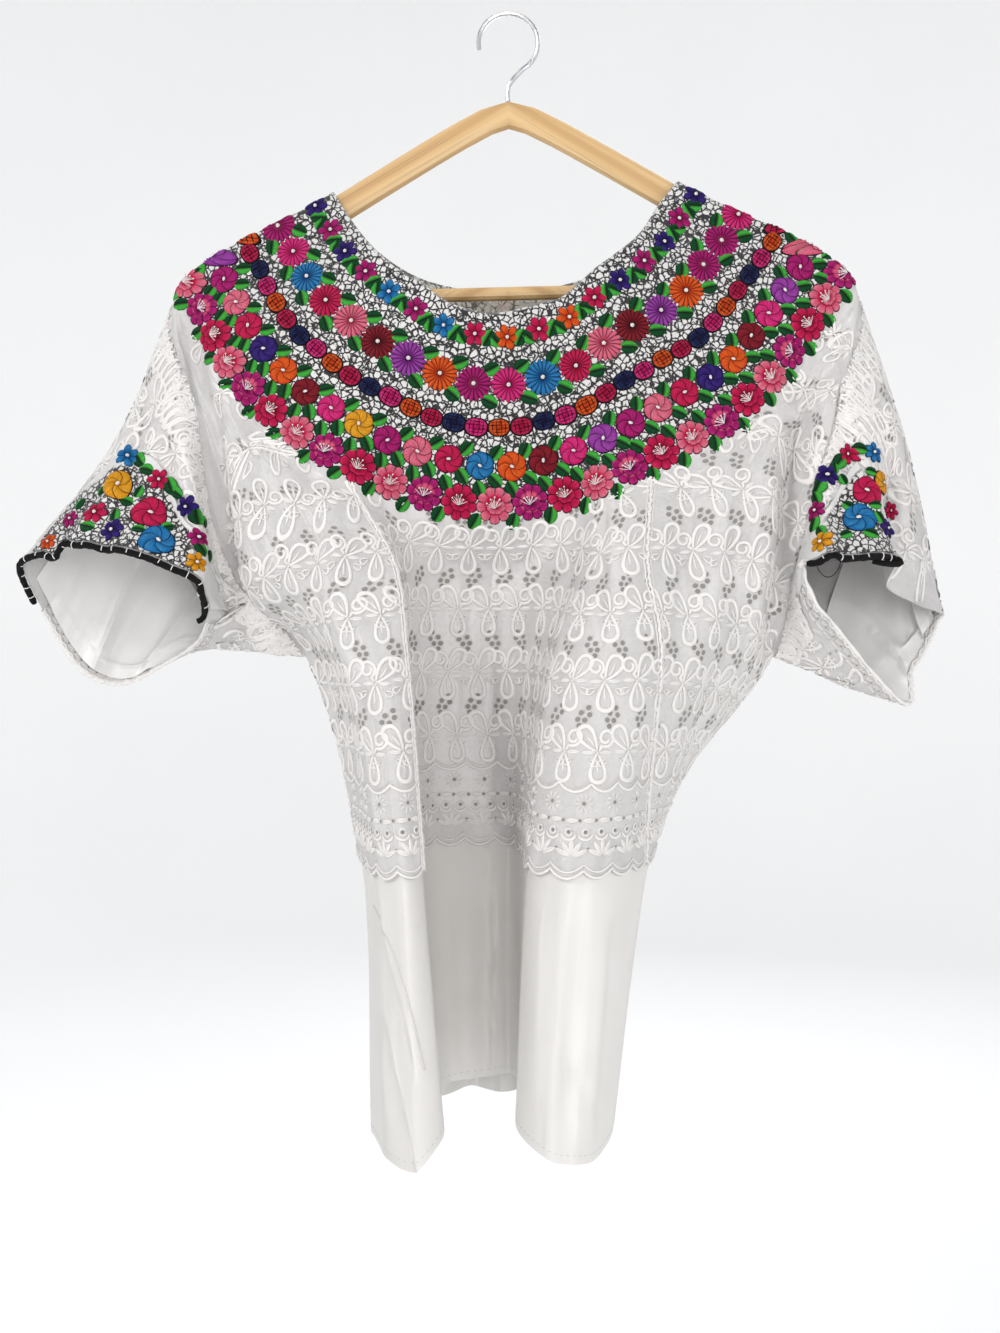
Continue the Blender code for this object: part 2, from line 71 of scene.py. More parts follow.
# Folds of the front, from the wearer's right to left. Each row is one line from neck to hem:
# name, neck x y z, yoke's edge x y z, bulge under it, chest x y, underarm x y,
# lace hem x y z, tail x y z
FRONT = (
    ("side_left", (-133, 0, -130), (-245, 0, -200), 26, (-200, -36), (-152, -5),
     (-112, -25, -608), (-105, -20, -806)),
    ("arm_left", (-123, -13, -148), (-232, -16, -225), 12, (-182, -49), (-130, -44),
     (-103, -66, -610), (-96, -62, -801)),
    ("lobe_left", (-105, -25, -174), (-202, -36, -277), 4, (-146, -70), (-114, -86),
     (-90, -98, -612), (-84, -106, -797)),
    ("crest_left", (-87, -30, -192), (-157, -48, -320), 2, (-110, -77), (-91, -98),
     (-74, -113, -611), (-65, -128, -796)),
    ("seam_left", (-67, -33, -205), (-113, -52, -346), 0, (-82, -68), (-73, -88),
     (-61, -100, -609), (-46, -112, -778)),
    ("recess_left", (-50, -35, -218), (-88, -42, -356), 0, (-76, -38), (-81, -34),
     (-73, -28, -606), (-61, -22, -781)),
    ("recess_a", (-32, -36, -225), (-57, -37, -365), 0, (-57, -20), (-58, -4),
     (-57, 6, -605), (-47, 16, -784)),
    ("recess_b", (-11, -36, -227), (-18, -36, -371), 0, (-20, -16), (-23, 0),
     (-29, 12, -605), (-21, 22, -782)),
    ("recess_right", (7, -35, -223), (17, -36, -368), 0, (16, -22), (3, -8),
     (-5, 4, -604), (-4, 14, -777)),
    ("wall_right", (21, -34, -219), (43, -42, -362), 0, (39, -42), (20, -42),
     (6, -40, -606), (-1, -42, -777)),
    ("edge_right", (33, -33, -215), (59, -53, -357), 0, (50, -70), (28, -84),
     (9, -96, -608), (0, -106, -779)),
    ("crest_right", (45, -32, -205), (70, -55, -353), 0, (64, -82), (52, -102),
     (34, -116, -610), (21, -130, -788)),
    ("outer_right", (58, -31, -193), (79, -54, -349), 0, (76, -84), (74, -102),
     (66, -100, -610), (47, -112, -796)),
    ("seam_right", (70, -29, -184), (93, -52, -342), 0, (88, -80), (96, -92),
     (88, -66, -609), (62, -76, -798)),
    ("lobe_right", (89, -23, -167), (161, -38, -304), 4, (138, -62), (136, -64),
     (97, -34, -608), (70, -38, -800)),
    ("arm_right", (104, -13, -143), (229, -16, -221), 12, (180, -46), (167, -30),
     (100, -2, -607), (73, -4, -802)),
    ("side_right", (119, 0, -122), (246, 0, -194), 26, (197, -36), (187, -4),
     (94, 26, -606), (68, 24, -803)),
)

# Folds of the back, between the same two side lines, in the same columns
BACK = (
    ("back_arm_left", (-123, 13, -147), (-232, 16, -224), -12, (-185, 34), (-137, 40),
     (-106, 22, -607), (-100, 28, -806)),
    ("back_lobe_left", (-100, 24, -168), (-196, 32, -282), -4, (-140, 52), (-112, 60),
     (-90, 56, -608), (-84, 62, -804)),
    ("back_fold_left", (-72, 29, -184), (-135, 40, -328), 0, (-98, 50), (-80, 52),
     (-64, 44, -608), (-58, 44, -802)),
    ("back_mid_left", (-40, 31, -192), (-70, 44, -346), 0, (-56, 58), (-48, 66),
     (-38, 64, -609), (-34, 70, -802)),
    ("back_centre", (-6, 32, -196), (-4, 44, -352), 0, (-8, 50), (-8, 50),
     (-8, 46, -609), (-8, 48, -800)),
    ("back_mid_right", (28, 31, -191), (62, 44, -345), 0, (44, 58), (38, 66),
     (24, 66, -609), (18, 72, -800)),
    ("back_fold_right", (62, 29, -181), (128, 40, -325), 0, (94, 50), (88, 52),
     (54, 52, -608), (40, 54, -801)),
    ("back_lobe_right", (90, 24, -165), (192, 32, -278), -4, (142, 50), (134, 58),
     (80, 64, -607), (60, 68, -802)),
    ("back_arm_right", (106, 13, -141), (231, 16, -218), -12, (184, 34), (166, 38),
     (92, 48, -606), (68, 48, -803)),
)

# The cloth's round top over the hanger's arm: how far its next line lies out and down
RIDGE_OUT = 8.5
RIDGE_DOWN = 2.8
RIDGE_SHARE = 0.1
RIDGE_SHARE_BELOW = 0.5

# Sleeves. Each row is a line along the sleeve: its place round the ring (0 on the top fold,
# 1 under the arm, 2 on the top fold again), a middle point x y z, a cuff point x y z
SLEEVE_LEFT = (
    (0.00, (-291, -12, -317), (-349, -30, -401)),
    (0.17, (-270, -34, -316), (-322, -50, -393)),
    (0.35, (-254, -46, -338), (-293, -66, -390)),
    (0.55, (-233, -52, -369), (-251, -74, -398)),
    (0.75, (-211, -46, -405), (-221, -66, -415)),
    (0.90, (-198, -29, -439), (-213, -48, -433)),
    (1.00, (-190, -8, -463), (-224, -18, -452)),
    (1.20, (-223, 20, -434), (-263, 14, -476)),
    (1.45, (-257, 28, -406), (-300, 20, -488)),
    (1.65, (-279, 24, -365), (-325, 14, -473)),
    (1.85, (-292, 8, -329), (-346, -6, -428)),
)
SLEEVE_RIGHT = (
    (0.00, (282, -8, -311), (307, -12, -436)),
    (0.12, (269, -30, -312), (284, -32, -431)),
    (0.22, (259, -34, -315), (262, -38, -420)),
    (0.34, (243, -48, -337), (264, -60, -399)),
    (0.52, (218, -54, -367), (231, -74, -399)),
    (0.68, (201, -52, -391), (205, -72, -403)),
    (0.80, (196, -40, -422), (195, -58, -410)),
    (0.90, (207, -23, -452), (225, -36, -448)),
    (1.00, (227, -4, -482), (270, -6, -492)),
    (1.30, (268, 26, -440), (294, 12, -476)),
    (1.60, (287, 24, -380), (307, 12, -455)),
    (1.85, (287, 8, -330), (310, 0, -440)),
)
RING_TURN = 2.0
# Steps down a sleeve above and below its patch, and the patch's round outline
ABOVE_PATCH_STEPS = 20
PATCH_STEPS = 16
PATCH_DEPTH = 0.58
PATCH_LEAST = 0.12
PATCH_ROUND = 0.7
# Rows of the sleeve that the patch's cloth reaches up past its outline, columns beside it with
# no lace stitches, and the photograph's column at which its net of stitches ends
PATCH_REACH = 3
BARE_BESIDE = {"left": 1, "right": 5}
NET_ENDS = {"left": (199, -1), "right": (822, 1)}
NET_FADE_PX = 8
NET_FIRST_ROW = 3
BACK_BAND = 0.88

# Places of patches, linings and bindings round the sleeves, in the CAD's ring columns
RING_REFINE = 4
PATCH_COLUMNS = {"left": (1, 10), "right": (4, 9)}
LINING_COLUMNS = (12, 21)
LINING_TOP = 8
LINING_SHORT = 4
BINDING_COLUMNS = {"left": (0, 10), "right": (4, 8)}
BINDING_WRAP = {"left": 6.5, "right": 0}
BINDING_RADIUS = 2.4
BINDING_GAP = 0.7
STITCH_GAP = 10.5
# The right binding's outer end turns back on itself: ahead of the end and below it, in mm.
# The left binding's last end hooks in under the cuff: x, y and z from its end, in mm
TURNED_END = ((0, 0), (2.2, 1.4), (2.6, 3.4), (0.6, 4.6), (-5, 5.0), (-12, 4.4), (-18, 3.2))
HOOKED_END = ((0, 0, 0), (-1.0, 0.5, -2.0), (-2.8, 0.9, -3.8), (-5.0, 1.3, -4.6))
BINDING_LONGER = {"left": 0.7, "right": 0}
# A loose thread hangs from the right binding: steps of the binding it hangs between, its drop
LOOSE_THREAD = (-13, -4)
LOOSE_DROP = 11.0

# The blouse sits a little aside on the hanger
HUNG_ASIDE = Vector((5, 0, 0))

# Camera: its place in millimetres, and its focal length on a frame 1333 high
CAMERA = Vector((-6, -963, -475))
FOCAL_PX = 1319.2
FRAME_WIDTH = 1000
FRAME_HEIGHT = 1333
SENSOR = 36
# Pixels added to a point's distance where its cloth faces away from the camera
HIDDEN_MISS = 40

# Main creases, listed one by one. Side, start x z, end x z, half width, depth; a trough has a
# negative depth, and each one fades out towards both ends
CREASES = (
    ("front", (-228, -216), (-200, -380), 12, -8.0),
    ("front", (-206, -285), (-189, -475), 10, -14.0),
    ("front", (-222, -310), (-210, -470), 8, 5.5),
    ("front", (-176, -340), (-166, -470), 9, 4.5),
    ("front", (-240, -226), (-210, -420), 9, 4.0),
    ("front", (-252, -262), (-262, -370), 9, -4.0),
    ("front", (-186, -250), (-168, -400), 10, -5.0),
    ("front", (-168, -290), (-184, -440), 9, 3.4),
    ("front", (-150, -420), (-118, -560), 11, -4.5),
    ("front", (-286, -330), (-262, -440), 10, -2.5),
    ("front", (-140, -306), (-130, -450), 12, -5.0),
    ("front", (-120, -342), (-106, -500), 10, 3.4),
    ("front", (-96, -360), (-92, -450), 7, -1.6),
    ("front", (-62, -372), (-54, -470), 9, -1.8),
    ("front", (-34, -378), (-38, -520), 10, 1.8),
    ("front", (-10, -376), (-14, -600), 9, -2.4),
    ("front", (66, -356), (58, -490), 7, -2.4),
    ("front", (128, -322), (116, -480), 12, -4.5),
    ("front", (152, -310), (140, -460), 9, 3.0),
    ("front", (214, -236), (200, -380), 12, -8.0),
    ("front", (206, -275), (190, -478), 10, -14.0),
    ("front", (222, -310), (216, -470), 8, 5.5),
    ("front", (178, -340), (172, -470), 9, 4.5),
    ("front", (230, -230), (240, -370), 9, -4.0),
    ("front", (178, -280), (188, -430), 8, 3.0),
    ("front", (160, -440), (120, -570), 11, -4.5),
    ("front", (276, -330), (250, -470), 10, -4.5),
    ("front", (112, -460), (90, -604), 12, -4.0),
    ("front", (-112, -470), (-98, -600), 10, -4.0),
    ("front", (-262, -300), (-286, -400), 8, 2.6),
    ("front", (262, -300), (284, -420), 8, -3.0),
    ("front", (-99, -612), (-62, -745), 8, -5.5),
    ("front", (-88, -700), (-62, -806), 6, -7.5),
    ("front", (-84, -610), (-74, -770), 9, 2.6),
    ("front", (-14, -612), (-16, -785), 6, -3.4),
    ("front", (-44, -640), (-38, -785), 9, 2.4),
    ("front", (50, -610), (38, -800), 9, -3.0),
    ("front", (66, -640), (54, -800), 8, 2.6),
    ("front", (22, -630), (16, -760), 7, 2.4),
    ("front", (36, -720), (62, -770), 9, -2.4),
    ("back", (-224, -228), (-200, -345), 8, -2.6),
    ("back", (-170, -290), (-150, -420), 10, 2.4),
    ("back", (-120, -330), (-108, -520), 12, -3.0),
    ("back", (-70, -350), (-66, -600), 11, 2.4),
    ("back", (-24, -356), (-30, -590), 9, -2.6),
    ("back", (30, -352), (20, -560), 10, 2.2),
    ("back", (76, -346), (70, -600), 12, -2.8),
    ("back", (130, -330), (112, -520), 10, 2.4),
    ("back", (210, -250), (200, -352), 8, -2.4),
    ("back", (-60, -630), (-52, -790), 8, -2.2),
    ("back", (-10, -620), (-8, -785), 9, 2.0),
    ("back", (40, -640), (34, -790), 8, -2.2),
)
CREASE_FADE = 0.6
CREASE_STEEP = 0.45

# The left cuff's edge steps up where its binding doubles back: place round the ring, half
# width, rise in mm; and how many rows up the sleeve it fades over
CUFF_WAVE = ((0.195, 0.036, -5.5), (0.262, 0.032, 3.0))
CUFF_WAVE_ROWS = 14

# Creases of the linings inside the sleeves: start and end as shares round and down, width, depth
LINING_CREASES = (
    ((0.24, 0.02), (0.20, 1.0), 11, 4.5),
    ((0.56, -0.1), (0.60, 1.1), 17, 9.0),
    ((0.42, 0.24), (1.05, 0.50), 9, 4.0),
    ((0.00, 0.42), (0.56, 0.72), 8, 3.4),
    ((0.82, 0.05), (0.90, 1.05), 12, 5.0),
)

# How many steps a line is carried on past a grid's rim, how many mm make one unit of a cloth's
# uv, and the way from which the first ring of a tube takes its own
BEYOND = 60.0
UV_UNIT = 10
ANY_WAY = (0.31, 0.52, 0.79)

# Shades of one motif: every thread colour has a dark, a main and a light tone
DARK, MAIN, LIGHT, INK, WHITE, HEART_AND_PAINTED_SHADE = range(6)

# Shades of a white satin leaf: rim in painted shade, first half, vein and second half
SATIN = (DARK, LIGHT, MAIN, LIGHT)

# Thread colours, red green blue from 0 to 255: dark, main, light, and the flower's heart; white's dark
# and fourth tones are painted shade
THREADS = {
    "crimson": ((104, 3, 36), (178, 12, 66), (196, 34, 84), (134, 5, 42)),
    "magenta": ((84, 5, 54), (150, 12, 92), (172, 34, 114), (106, 5, 64)),
    "pink": ((124, 6, 64), (198, 20, 102), (208, 56, 126), (156, 10, 76)),
    "salmon": ((165, 34, 70), (208, 86, 114), (216, 118, 138), (181, 16, 66)),
    "violet": ((74, 16, 86), (134, 44, 142), (156, 74, 164), (92, 22, 101)),
    "indigo": ((15, 7, 47), (37, 18, 94), (60, 37, 123), (24, 10, 66)),
    "navy": ((7, 8, 29), (22, 24, 71), (34, 49, 97), (10, 12, 40)),
    "blue": ((7, 52, 108), (15, 99, 160), (54, 131, 183), (8, 62, 123)),
    "orange": ((138, 34, 8), (208, 68, 16), (216, 96, 34), (160, 42, 10)),
    "wine": ((55, 5, 13), (111, 12, 27), (134, 29, 42), (71, 5, 15)),
    "yellow": ((166, 88, 8), (214, 142, 18), (220, 162, 48), (180, 97, 10)),
    "leaf": ((6, 70, 33), (36, 132, 46), (62, 168, 60), (10, 69, 33)),
    # White's dark tone is painted shade along the sides of satin stitches and in veins; its fourth tone
    # is painted shade in holes and on rims
    "white": ((176, 172, 171), (218, 215, 212), (236, 233, 231), (146, 142, 140)),
    "black": ((10, 10, 12), (16, 16, 18), (30, 30, 34), (8, 8, 10)),
}
INK_RGB = (12, 10, 14)
WHITE_RGB = (238, 234, 232)
PEONY_HEARTS = {"salmon": (196, 18, 70), "magenta": (224, 92, 128), "crimson": (140, 6, 46)}

# Rows of the yoke from neck to edge: kind, place from neck 0 to edge 1, flowers on the front,
# flowers on the back, colours of the front in order, how many from the cycle's start
YOKE_ROWS = (
    ("small", 0.108, 17, 14, ("indigo", "magenta", "indigo", "magenta", "blue", "magenta", "blue",
                              "crimson", "orange", "crimson", "orange", "crimson", "indigo",
                              "magenta", "indigo", "magenta")),
    ("daisy", 0.314, 19, 18, ("magenta", "pink", "blue", "crimson", "salmon", "wine", "violet",
                              "orange", "magenta", "pink", "blue", "crimson", "salmon", "wine",
                              "violet", "orange", "magenta")),
    ("bead", 0.50, 34, 32, ("orange", "crimson", "navy", "pink")),
    ("wheel", 0.676, 27, 25, ("violet", "magenta", "salmon", "crimson", "indigo", "orange", "wine",
                              "pink", "yellow", "magenta", "salmon", "crimson", "blue", "orange",
                              "wine", "pink", "violet", "magenta", "salmon", "crimson", "indigo",
                              "orange", "wine", "pink")),
    ("peony", 0.895, 26, 24, ("salmon", "magenta", "crimson")),
)

# Share of the yoke from neck to edge at which its net ends, and over which it fades; rows of the
# body under it that its lowest flowers may lie on
YOKE_RIM = 0.875
YOKE_RIM_FADE = 0.05
BELOW_YOKE = 8

# Rows that the lace's stitches keep clear of the yoke's edge and of the armhole, and rows that
# the under layer reaches up past the hem
BELOW_EDGE = 0.3
BELOW_ARMHOLE = 0.4
ABOVE_HEM = 4

# Spacing in mm at which each kind of flower has its own size
FLOWER_PITCH = {"small": 16.5, "daisy": 24.0, "bead": 16.2, "wheel": 19.8, "peony": 24.4}

# Leaves beside each flower of a row: kind, along as a share of the pitch, down in mm, turn in
# degrees, length
YOKE_LEAVES = (
    ("small", 0.40, 2.0, -58, 12.6),
    ("small", 0.62, 2.8, -122, 12.2),
    ("daisy", 0.46, -11.4, 148, 12.6),
    ("daisy", 0.50, 11.4, 32, 12.6),
    ("wheel", 0.48, -9.6, 128, 12.0),
    ("wheel", 0.50, 9.6, 52, 12.2),
    ("peony", 0.50, -10.8, 66, 12.4),
    ("peony", 0.50, 11.8, 112, 12.6),
)

# Flowers of the sleeves' patches by their place in the photograph: kind, colour, x, y, size
PATCH_FLOWERS = {
    "left": (
        ("small", "blue", 128, 457, 1.0), ("small", "crimson", 160, 480, 0.95),
        ("small", "indigo", 187, 507, 0.9), ("small", "magenta", 198, 538, 0.9),
        ("small", "yellow", 196, 563, 0.9), ("wheel", "yellow", 118, 485, 1.16),
        ("wheel", "crimson", 151, 514, 1.26), ("wheel", "blue", 158, 542, 1.26),
        ("small", "crimson", 96, 513, 1.1), ("small", "indigo", 113, 531, 1.05),
        ("small", "orange", 50, 543, 0.8), ("small", "magenta", 72, 520, 0.8),
    ),
    "right": (
        ("small", "crimson", 847, 455, 0.9), ("small", "blue", 872, 453, 0.9),
        ("small", "indigo", 827, 475, 0.9), ("small", "magenta", 817, 511, 0.9),
        ("small", "yellow", 822, 543, 1.0), ("wheel", "crimson", 866, 491, 1.08),
        ("wheel", "blue", 858, 519, 1.2), ("wheel", "yellow", 880, 483, 0.9),
        ("small", "indigo", 885, 529, 0.9), ("small", "crimson", 889, 511, 0.8),
    ),
}

# Leaves of the patches: x, y, turn in degrees, length in mm before it is scaled
PATCH_LEAF_SCALE = 1.08
PATCH_LEAVES = {
    "left": (
        (142, 461, 60, 13), (148, 470, 20, 10), (172, 487, 70, 13), (178, 493, 30, 10),
        (196, 517, 80, 12), (203, 523, 40, 10), (201, 549, 60, 11), (207, 556, 100, 9),
        (140, 493, 120, 9), (128, 503, 20, 10), (116, 516, 100, 9), (88, 528, 15, 11),
        (139, 530, 10, 8), (167, 528, -10, 9), (82, 505, -50, 9), (104, 492, -60, 8),
    ),
    "right": (
        (859, 449, 10, 10), (838, 462, -50, 12), (833, 468, -100, 9), (820, 487, -70, 12),
        (818, 498, -110, 10), (816, 525, -80, 12), (822, 532, -120, 9), (848, 507, 30, 9),
        (874, 505, 0, 9), (878, 518, 60, 9), (870, 534, 20, 10), (845, 536, -20, 9),
        (870, 472, 20, 8), (842, 480, 60, 8),
    ),
}

# Lace pattern in mm: repeat across and down the cloth, heights of its first and last rows on the
# body and on the sleeves, how far a repeat may lie past a panel's end, and the hem's border
LACE_ACROSS = 22.2
LACE_DOWN = 46.5
LACE_LEVELS = (80, 450)
SLEEVE_LEVELS = (36, 310)
LACE_STAGGER = 0.36
LACE_PAST_END = 9
BORDER_TOP = 57
HOLE_RADIUS = 1.7
HOLE_CLUSTER = ((2.8, -5.6), (-1.9, -2.2), (3.9, -1.0), (-3.9, 2.2), (0.9, 2.6), (-2.6, 6.2))
SCALLOP_DEPTH = 5.5
HEM_RAISE = 3.0
HEM_ROWS = 6
LINING_SPAN = 230
TRIM_REPEATS = 24
TRIM_LENGTH = 11

# Continuous satin lines of the border: height above the hem, width, relief, tone
BORDER_LINES = (
    (BORDER_TOP, 2.6, 1.1, LIGHT),
    (BORDER_TOP + 3.0, 1.0, 0.5, MAIN),
    (1.1, 2.4, 1.1, LIGHT),
    (5.0, 1.6, 0.9, LIGHT),
)

# The folded edge that runs down the tail's left roll, by its place in the photograph
TAIL_EDGE = ((371, 906), (384, 937), (396, 966), (406, 997), (414, 1021), (420, 1046),
             (426, 1071))
TAIL_HEM = 5.5
TAIL_STITCHES = 130

# White cloths: name, colour, shadow, period of the weave, sheen, wrinkles, puckers
CLOTHS = {
    "lace": ("lace_cotton", (0.79, 0.775, 0.765), (0.70, 0.68, 0.68), 0.055, 0.12, 0, 2.6),
    "plain": ("plain_cotton", (0.88, 0.86, 0.84), (0.82, 0.80, 0.77), 0.04, 0.12, 0.5, 0),
    # The lining's cotton is lighter than the plain cotton: painted light for the light that shines
    # through the thin cloth into the cuffs
    "lining": ("lining_cotton_painted_light", (0.91, 0.90, 0.89), (0.85, 0.835, 0.82), 0.04, 0.12, 0.5, 0),
}

# Grounds of the embroidery: name, cloth, dark stitches, whether it is the faded reverse
GROUNDS = {
    "ground": ("yoke_ground", (0.71, 0.70, 0.69), (0.005, 0.004, 0.006), False),
    "reverse": ("yoke_reverse", (0.66, 0.63, 0.58), (0.05, 0.045, 0.04), True),
}

# Threads: name, roughness, sheen, contrast between strands
STRANDS = {
    "silk": ("flower_thread", 0.5, 0.015, 0.5),
    "satin": ("white_satin", 0.5, 0.12, 0.16),
}

# Stage: floor height, flat radius, rounding and wall height in metres; lights in metres, watts
FLOOR_Z = -1.25
BOWL_FLAT = 2.8
BOWL_ROUND = 1.2
BOWL_WALL = 4.0
WORLD_LIGHT = 0.42
STAGE_GLOW = 0.37
LIGHTS = (
    ("key", (-1.6, -1.6, 1.2), (-0.02, 0, -0.45), 0.7, 28, (1.0, 0.985, 0.965)),
    ("front", (0.3, -2.5, -0.2), (0, 0, -0.55), 1.2, 19, (1.0, 0.985, 0.97)),
    ("fill", (1.1, -1.6, -1.0), (0.25, 0, -0.45), 1.0, 4, (1.0, 0.99, 0.97)),
    ("back", (0.4, 1.8, 0.5), (0, 0, -0.4), 1.4, 16, (0.97, 0.98, 1.0)),
    ("top", (0, 0, 1.6), (0, 0, -0.5), 1.4, 4, (1.0, 1.0, 1.0)),
)


def slopes(points, knots, turn):
    """Slope of a smooth curve at each of its points; turn is a closed ring's whole length."""
    last = len(points) - 1
    result = []
    for i, point in enumerate(points):
        if turn:
            before = points[i - 1]
            after = points[(i + 1) % len(points)]
            step_in = (knots[i] - knots[i - 1]) % turn
            step_out = (knots[(i + 1) % len(points)] - knots[i]) % turn
        elif i in (0, last):
            near = 1 if i == 0 else last - 1
            result.append((points[near] - point) / (knots[near] - knots[i]))
            continue
        else:
            before = points[i - 1]
            after = points[i + 1]
            step_in = knots[i] - knots[i - 1]
            step_out = knots[i + 1] - knots[i]
        slope_in = (point - before) / step_in
        slope_out = (after - point) / step_out
        result.append((slope_in * step_out + slope_out * step_in) / (step_in + step_out))
    return result


def between(start, end, slope_start, slope_end, length, share):
    """Point on the smooth curve that joins two points with the given slopes."""
    s2 = share * share
    s3 = s2 * share
    return (start * (2 * s3 - 3 * s2 + 1) + end * (3 * s2 - 2 * s3)
            + slope_start * (length * (s3 - 2 * s2 + share)) + slope_end * (length * (s3 - s2)))


def through(points, steps, closed=False):
    """Smooth curve through the points, with steps[i] segments in each stretch."""
    knots = [0.0]
    for first, second in zip(points, points[1:]):
        knots.append(knots[-1] + math.sqrt((second - first).length))
    turn = knots[-1] + math.sqrt((points[0] - points[-1]).length) if closed else 0.0
    slope = slopes(points, knots, turn)
    result = []
    for i, count in enumerate(steps):
        following = (i + 1) % len(points)
        length = (turn if following == 0 else knots[following]) - knots[i]
        for k in range(count):
            result.append(between(points[i], points[following], slope[i], slope[following],
                                  length, k / count))
    if not closed:
        result.append(points[-1].copy())
    return result


def ring_at(places, points, place):
    """Point of a closed ring at a place from 0 to RING_TURN."""
    place = place % RING_TURN
    slope = slopes(points, places, RING_TURN)
    i = max(k for k, knot in enumerate(places) if knot <= place + 1e-9)
    following = (i + 1) % len(points)
    length = (places[following] - places[i]) % RING_TURN
    return between(points[i], points[following], slope[i], slope[following], length,
                   (place - places[i]) / length)


def column_levels(row):
    """The points of one fold, level by level."""
    _, neck, edge, bulge, chest, underarm, hem, tail = row
    neck, edge = Vector(neck), Vector(edge)
    chest = Vector((*chest, CHEST_Z))
    blade = edge.lerp(chest, BLADE_SHARE) - Vector((0, bulge, 0))
    levels = [neck, edge, blade, chest, Vector((*underarm, UNDERARM_Z)), Vector(hem), Vector(tail)]
    return [level + HUNG_ASIDE for level in levels]


def mirrored_armhole(levels):
    """The side line of the back: it leaves the front's between the shoulder and the underarm."""
    result = [p.copy() for p in levels]
    for name in ("blade", "chest"):
        result[LEVELS.index(name)].y *= -1
    return result


def ridge_levels(side, arm):
    """A line close beside the side line, which rounds the cloth over the hanger's arm."""
    out = RIDGE_OUT if arm[0].y > side[0].y else -RIDGE_OUT
    result = []
    for name, first, second in zip(LEVELS, side, arm):
        if name in ("neck", "edge"):
            point = first.lerp(second, RIDGE_SHARE)
            point.y = first.y + out
            point.z = first.z - RIDGE_DOWN
        else:
            point = first.lerp(second, RIDGE_SHARE_BELOW)
        result.append(point)
    return result


def body_grids():
    """Outer points of the front and of the back, rows from neck to tail, columns along +X."""
    front = [column_levels(row) for row in FRONT]
    back = [column_levels(row) for row in BACK]
    back = [mirrored_armhole(front[0]), *back, mirrored_armhole(front[-1])]
    lines = []
    for levels in (front, back):
        levels = [levels[0], ridge_levels(levels[0], levels[1]), *levels[1:-1],
                  ridge_levels(levels[-1], levels[-2]), levels[-1]]
        lines.append([through(column, LEVEL_STEPS) for column in levels])
        for column, line in ((levels[0], lines[-1][0]), (levels[-1], lines[-1][-1])):
            for row in range(ROW["edge"]):
                line[row] = column[0].lerp(column[1], row / ROW["edge"])
    front, back = lines
    front_steps = [RIDGE_STEPS, *[COLUMN_STEPS] * (len(front) - 3), RIDGE_STEPS]
    back_steps = [RIDGE_STEPS, *[BACK_STEPS] * (len(back) - 3), RIDGE_STEPS]
    front_rows, back_rows = [], []
    for row in range(sum(LEVEL_STEPS) + 1):
        across_front = [line[row] for line in front]
        across_back = [line[row] for line in back]
        if ROW["edge"] < row < ROW["underarm"]:
            front_rows.append(through(across_front, front_steps))
            back_rows.append(through(across_back, back_steps))
            continue
        ring = through(across_front + across_back[-2:0:-1], front_steps + back_steps, closed=True)
        split = sum(front_steps)
        front_rows.append(ring[:split + 1])
        back_rows.append([ring[0], *reversed(ring[split:])])
    return front_rows, back_rows


def patch_line(place):
    """How far down the sleeve the patch's round outline lies, from 0 at the armhole to 1."""
    if place >= 1:
        return BACK_BAND
    return 1 - max(PATCH_LEAST, PATCH_DEPTH * math.sin(math.pi * place) ** PATCH_ROUND)


def sleeve_grid(table, front_armhole, back_armhole):
    """Outer points of one sleeve: a closed ring of columns, each from armhole to cuff."""
    places = [row[0] for row in table]
    middles = [Vector(row[1]) + HUNG_ASIDE for row in table]
    cuffs = [Vector(row[2]) + HUNG_ASIDE for row in table]
    armhole = front_armhole + back_armhole[-2:0:-1]
    half = len(front_armhole) - 1
    grid = []
    for i, start in enumerate(armhole):
        place = i / half
        middle = ring_at(places, middles, place)
        cuff = ring_at(places, cuffs, place)
        column = []
        for share in sleeve_shares(place):
            column.append(start if share == 0 else three_point(start, middle, cuff, share))
        grid.append(column)
    return grid


def sleeve_shares(place):
    """The steps down one column: even above the patch's outline, and even below it."""
    line = patch_line(place)
    above = [line * k / ABOVE_PATCH_STEPS for k in range(ABOVE_PATCH_STEPS)]
    below = [line + (1 - line) * k / PATCH_STEPS for k in range(PATCH_STEPS + 1)]
    return above + below


def three_point(start, middle, end, share):
    """Smooth curve from start through middle to end, at a share of its length."""
    first = (middle - start).length
    total = first + (end - middle).length
    slope = slopes([start, middle, end], [0.0, first, total], 0.0)
    along = share * total
    if along <= first:
        return between(start, middle, slope[0], slope[1], first, along / first)
    return between(middle, end, slope[1], slope[2], total - first,
                   (along - first) / (total - first))


def smooth_step(value):
    value = np.clip(value, 0, 1)
    return value * value * (3 - 2 * value)


def as_array(grid):
    return np.array([[tuple(p) for p in row] for row in grid])


def quads(index, flip=False):
    """Triangles of a grid of point numbers: outward where rows run down and columns right."""
    a, b = index[:-1, :-1].ravel(), index[1:, :-1].ravel()
    c, d = index[1:, 1:].ravel(), index[:-1, 1:].ravel()
    faces = np.concatenate([np.stack([a, b, c], 1), np.stack([a, c, d], 1)])
    return faces[:, ::-1] if flip else faces


def numbered(rows, columns, closed=False):
    """Point numbers of a grid listed row by row; closed joins its last column to its first."""
    width = columns - 1 if closed else columns
    return np.arange(rows)[:, None] * width + np.arange(columns)[None, :] % width


def weld(points):
    """Index of each point's place, the same for points that lie at one place."""
    _, index = np.unique(np.round(points, 3), axis=0, return_inverse=True)
    return index.ravel()


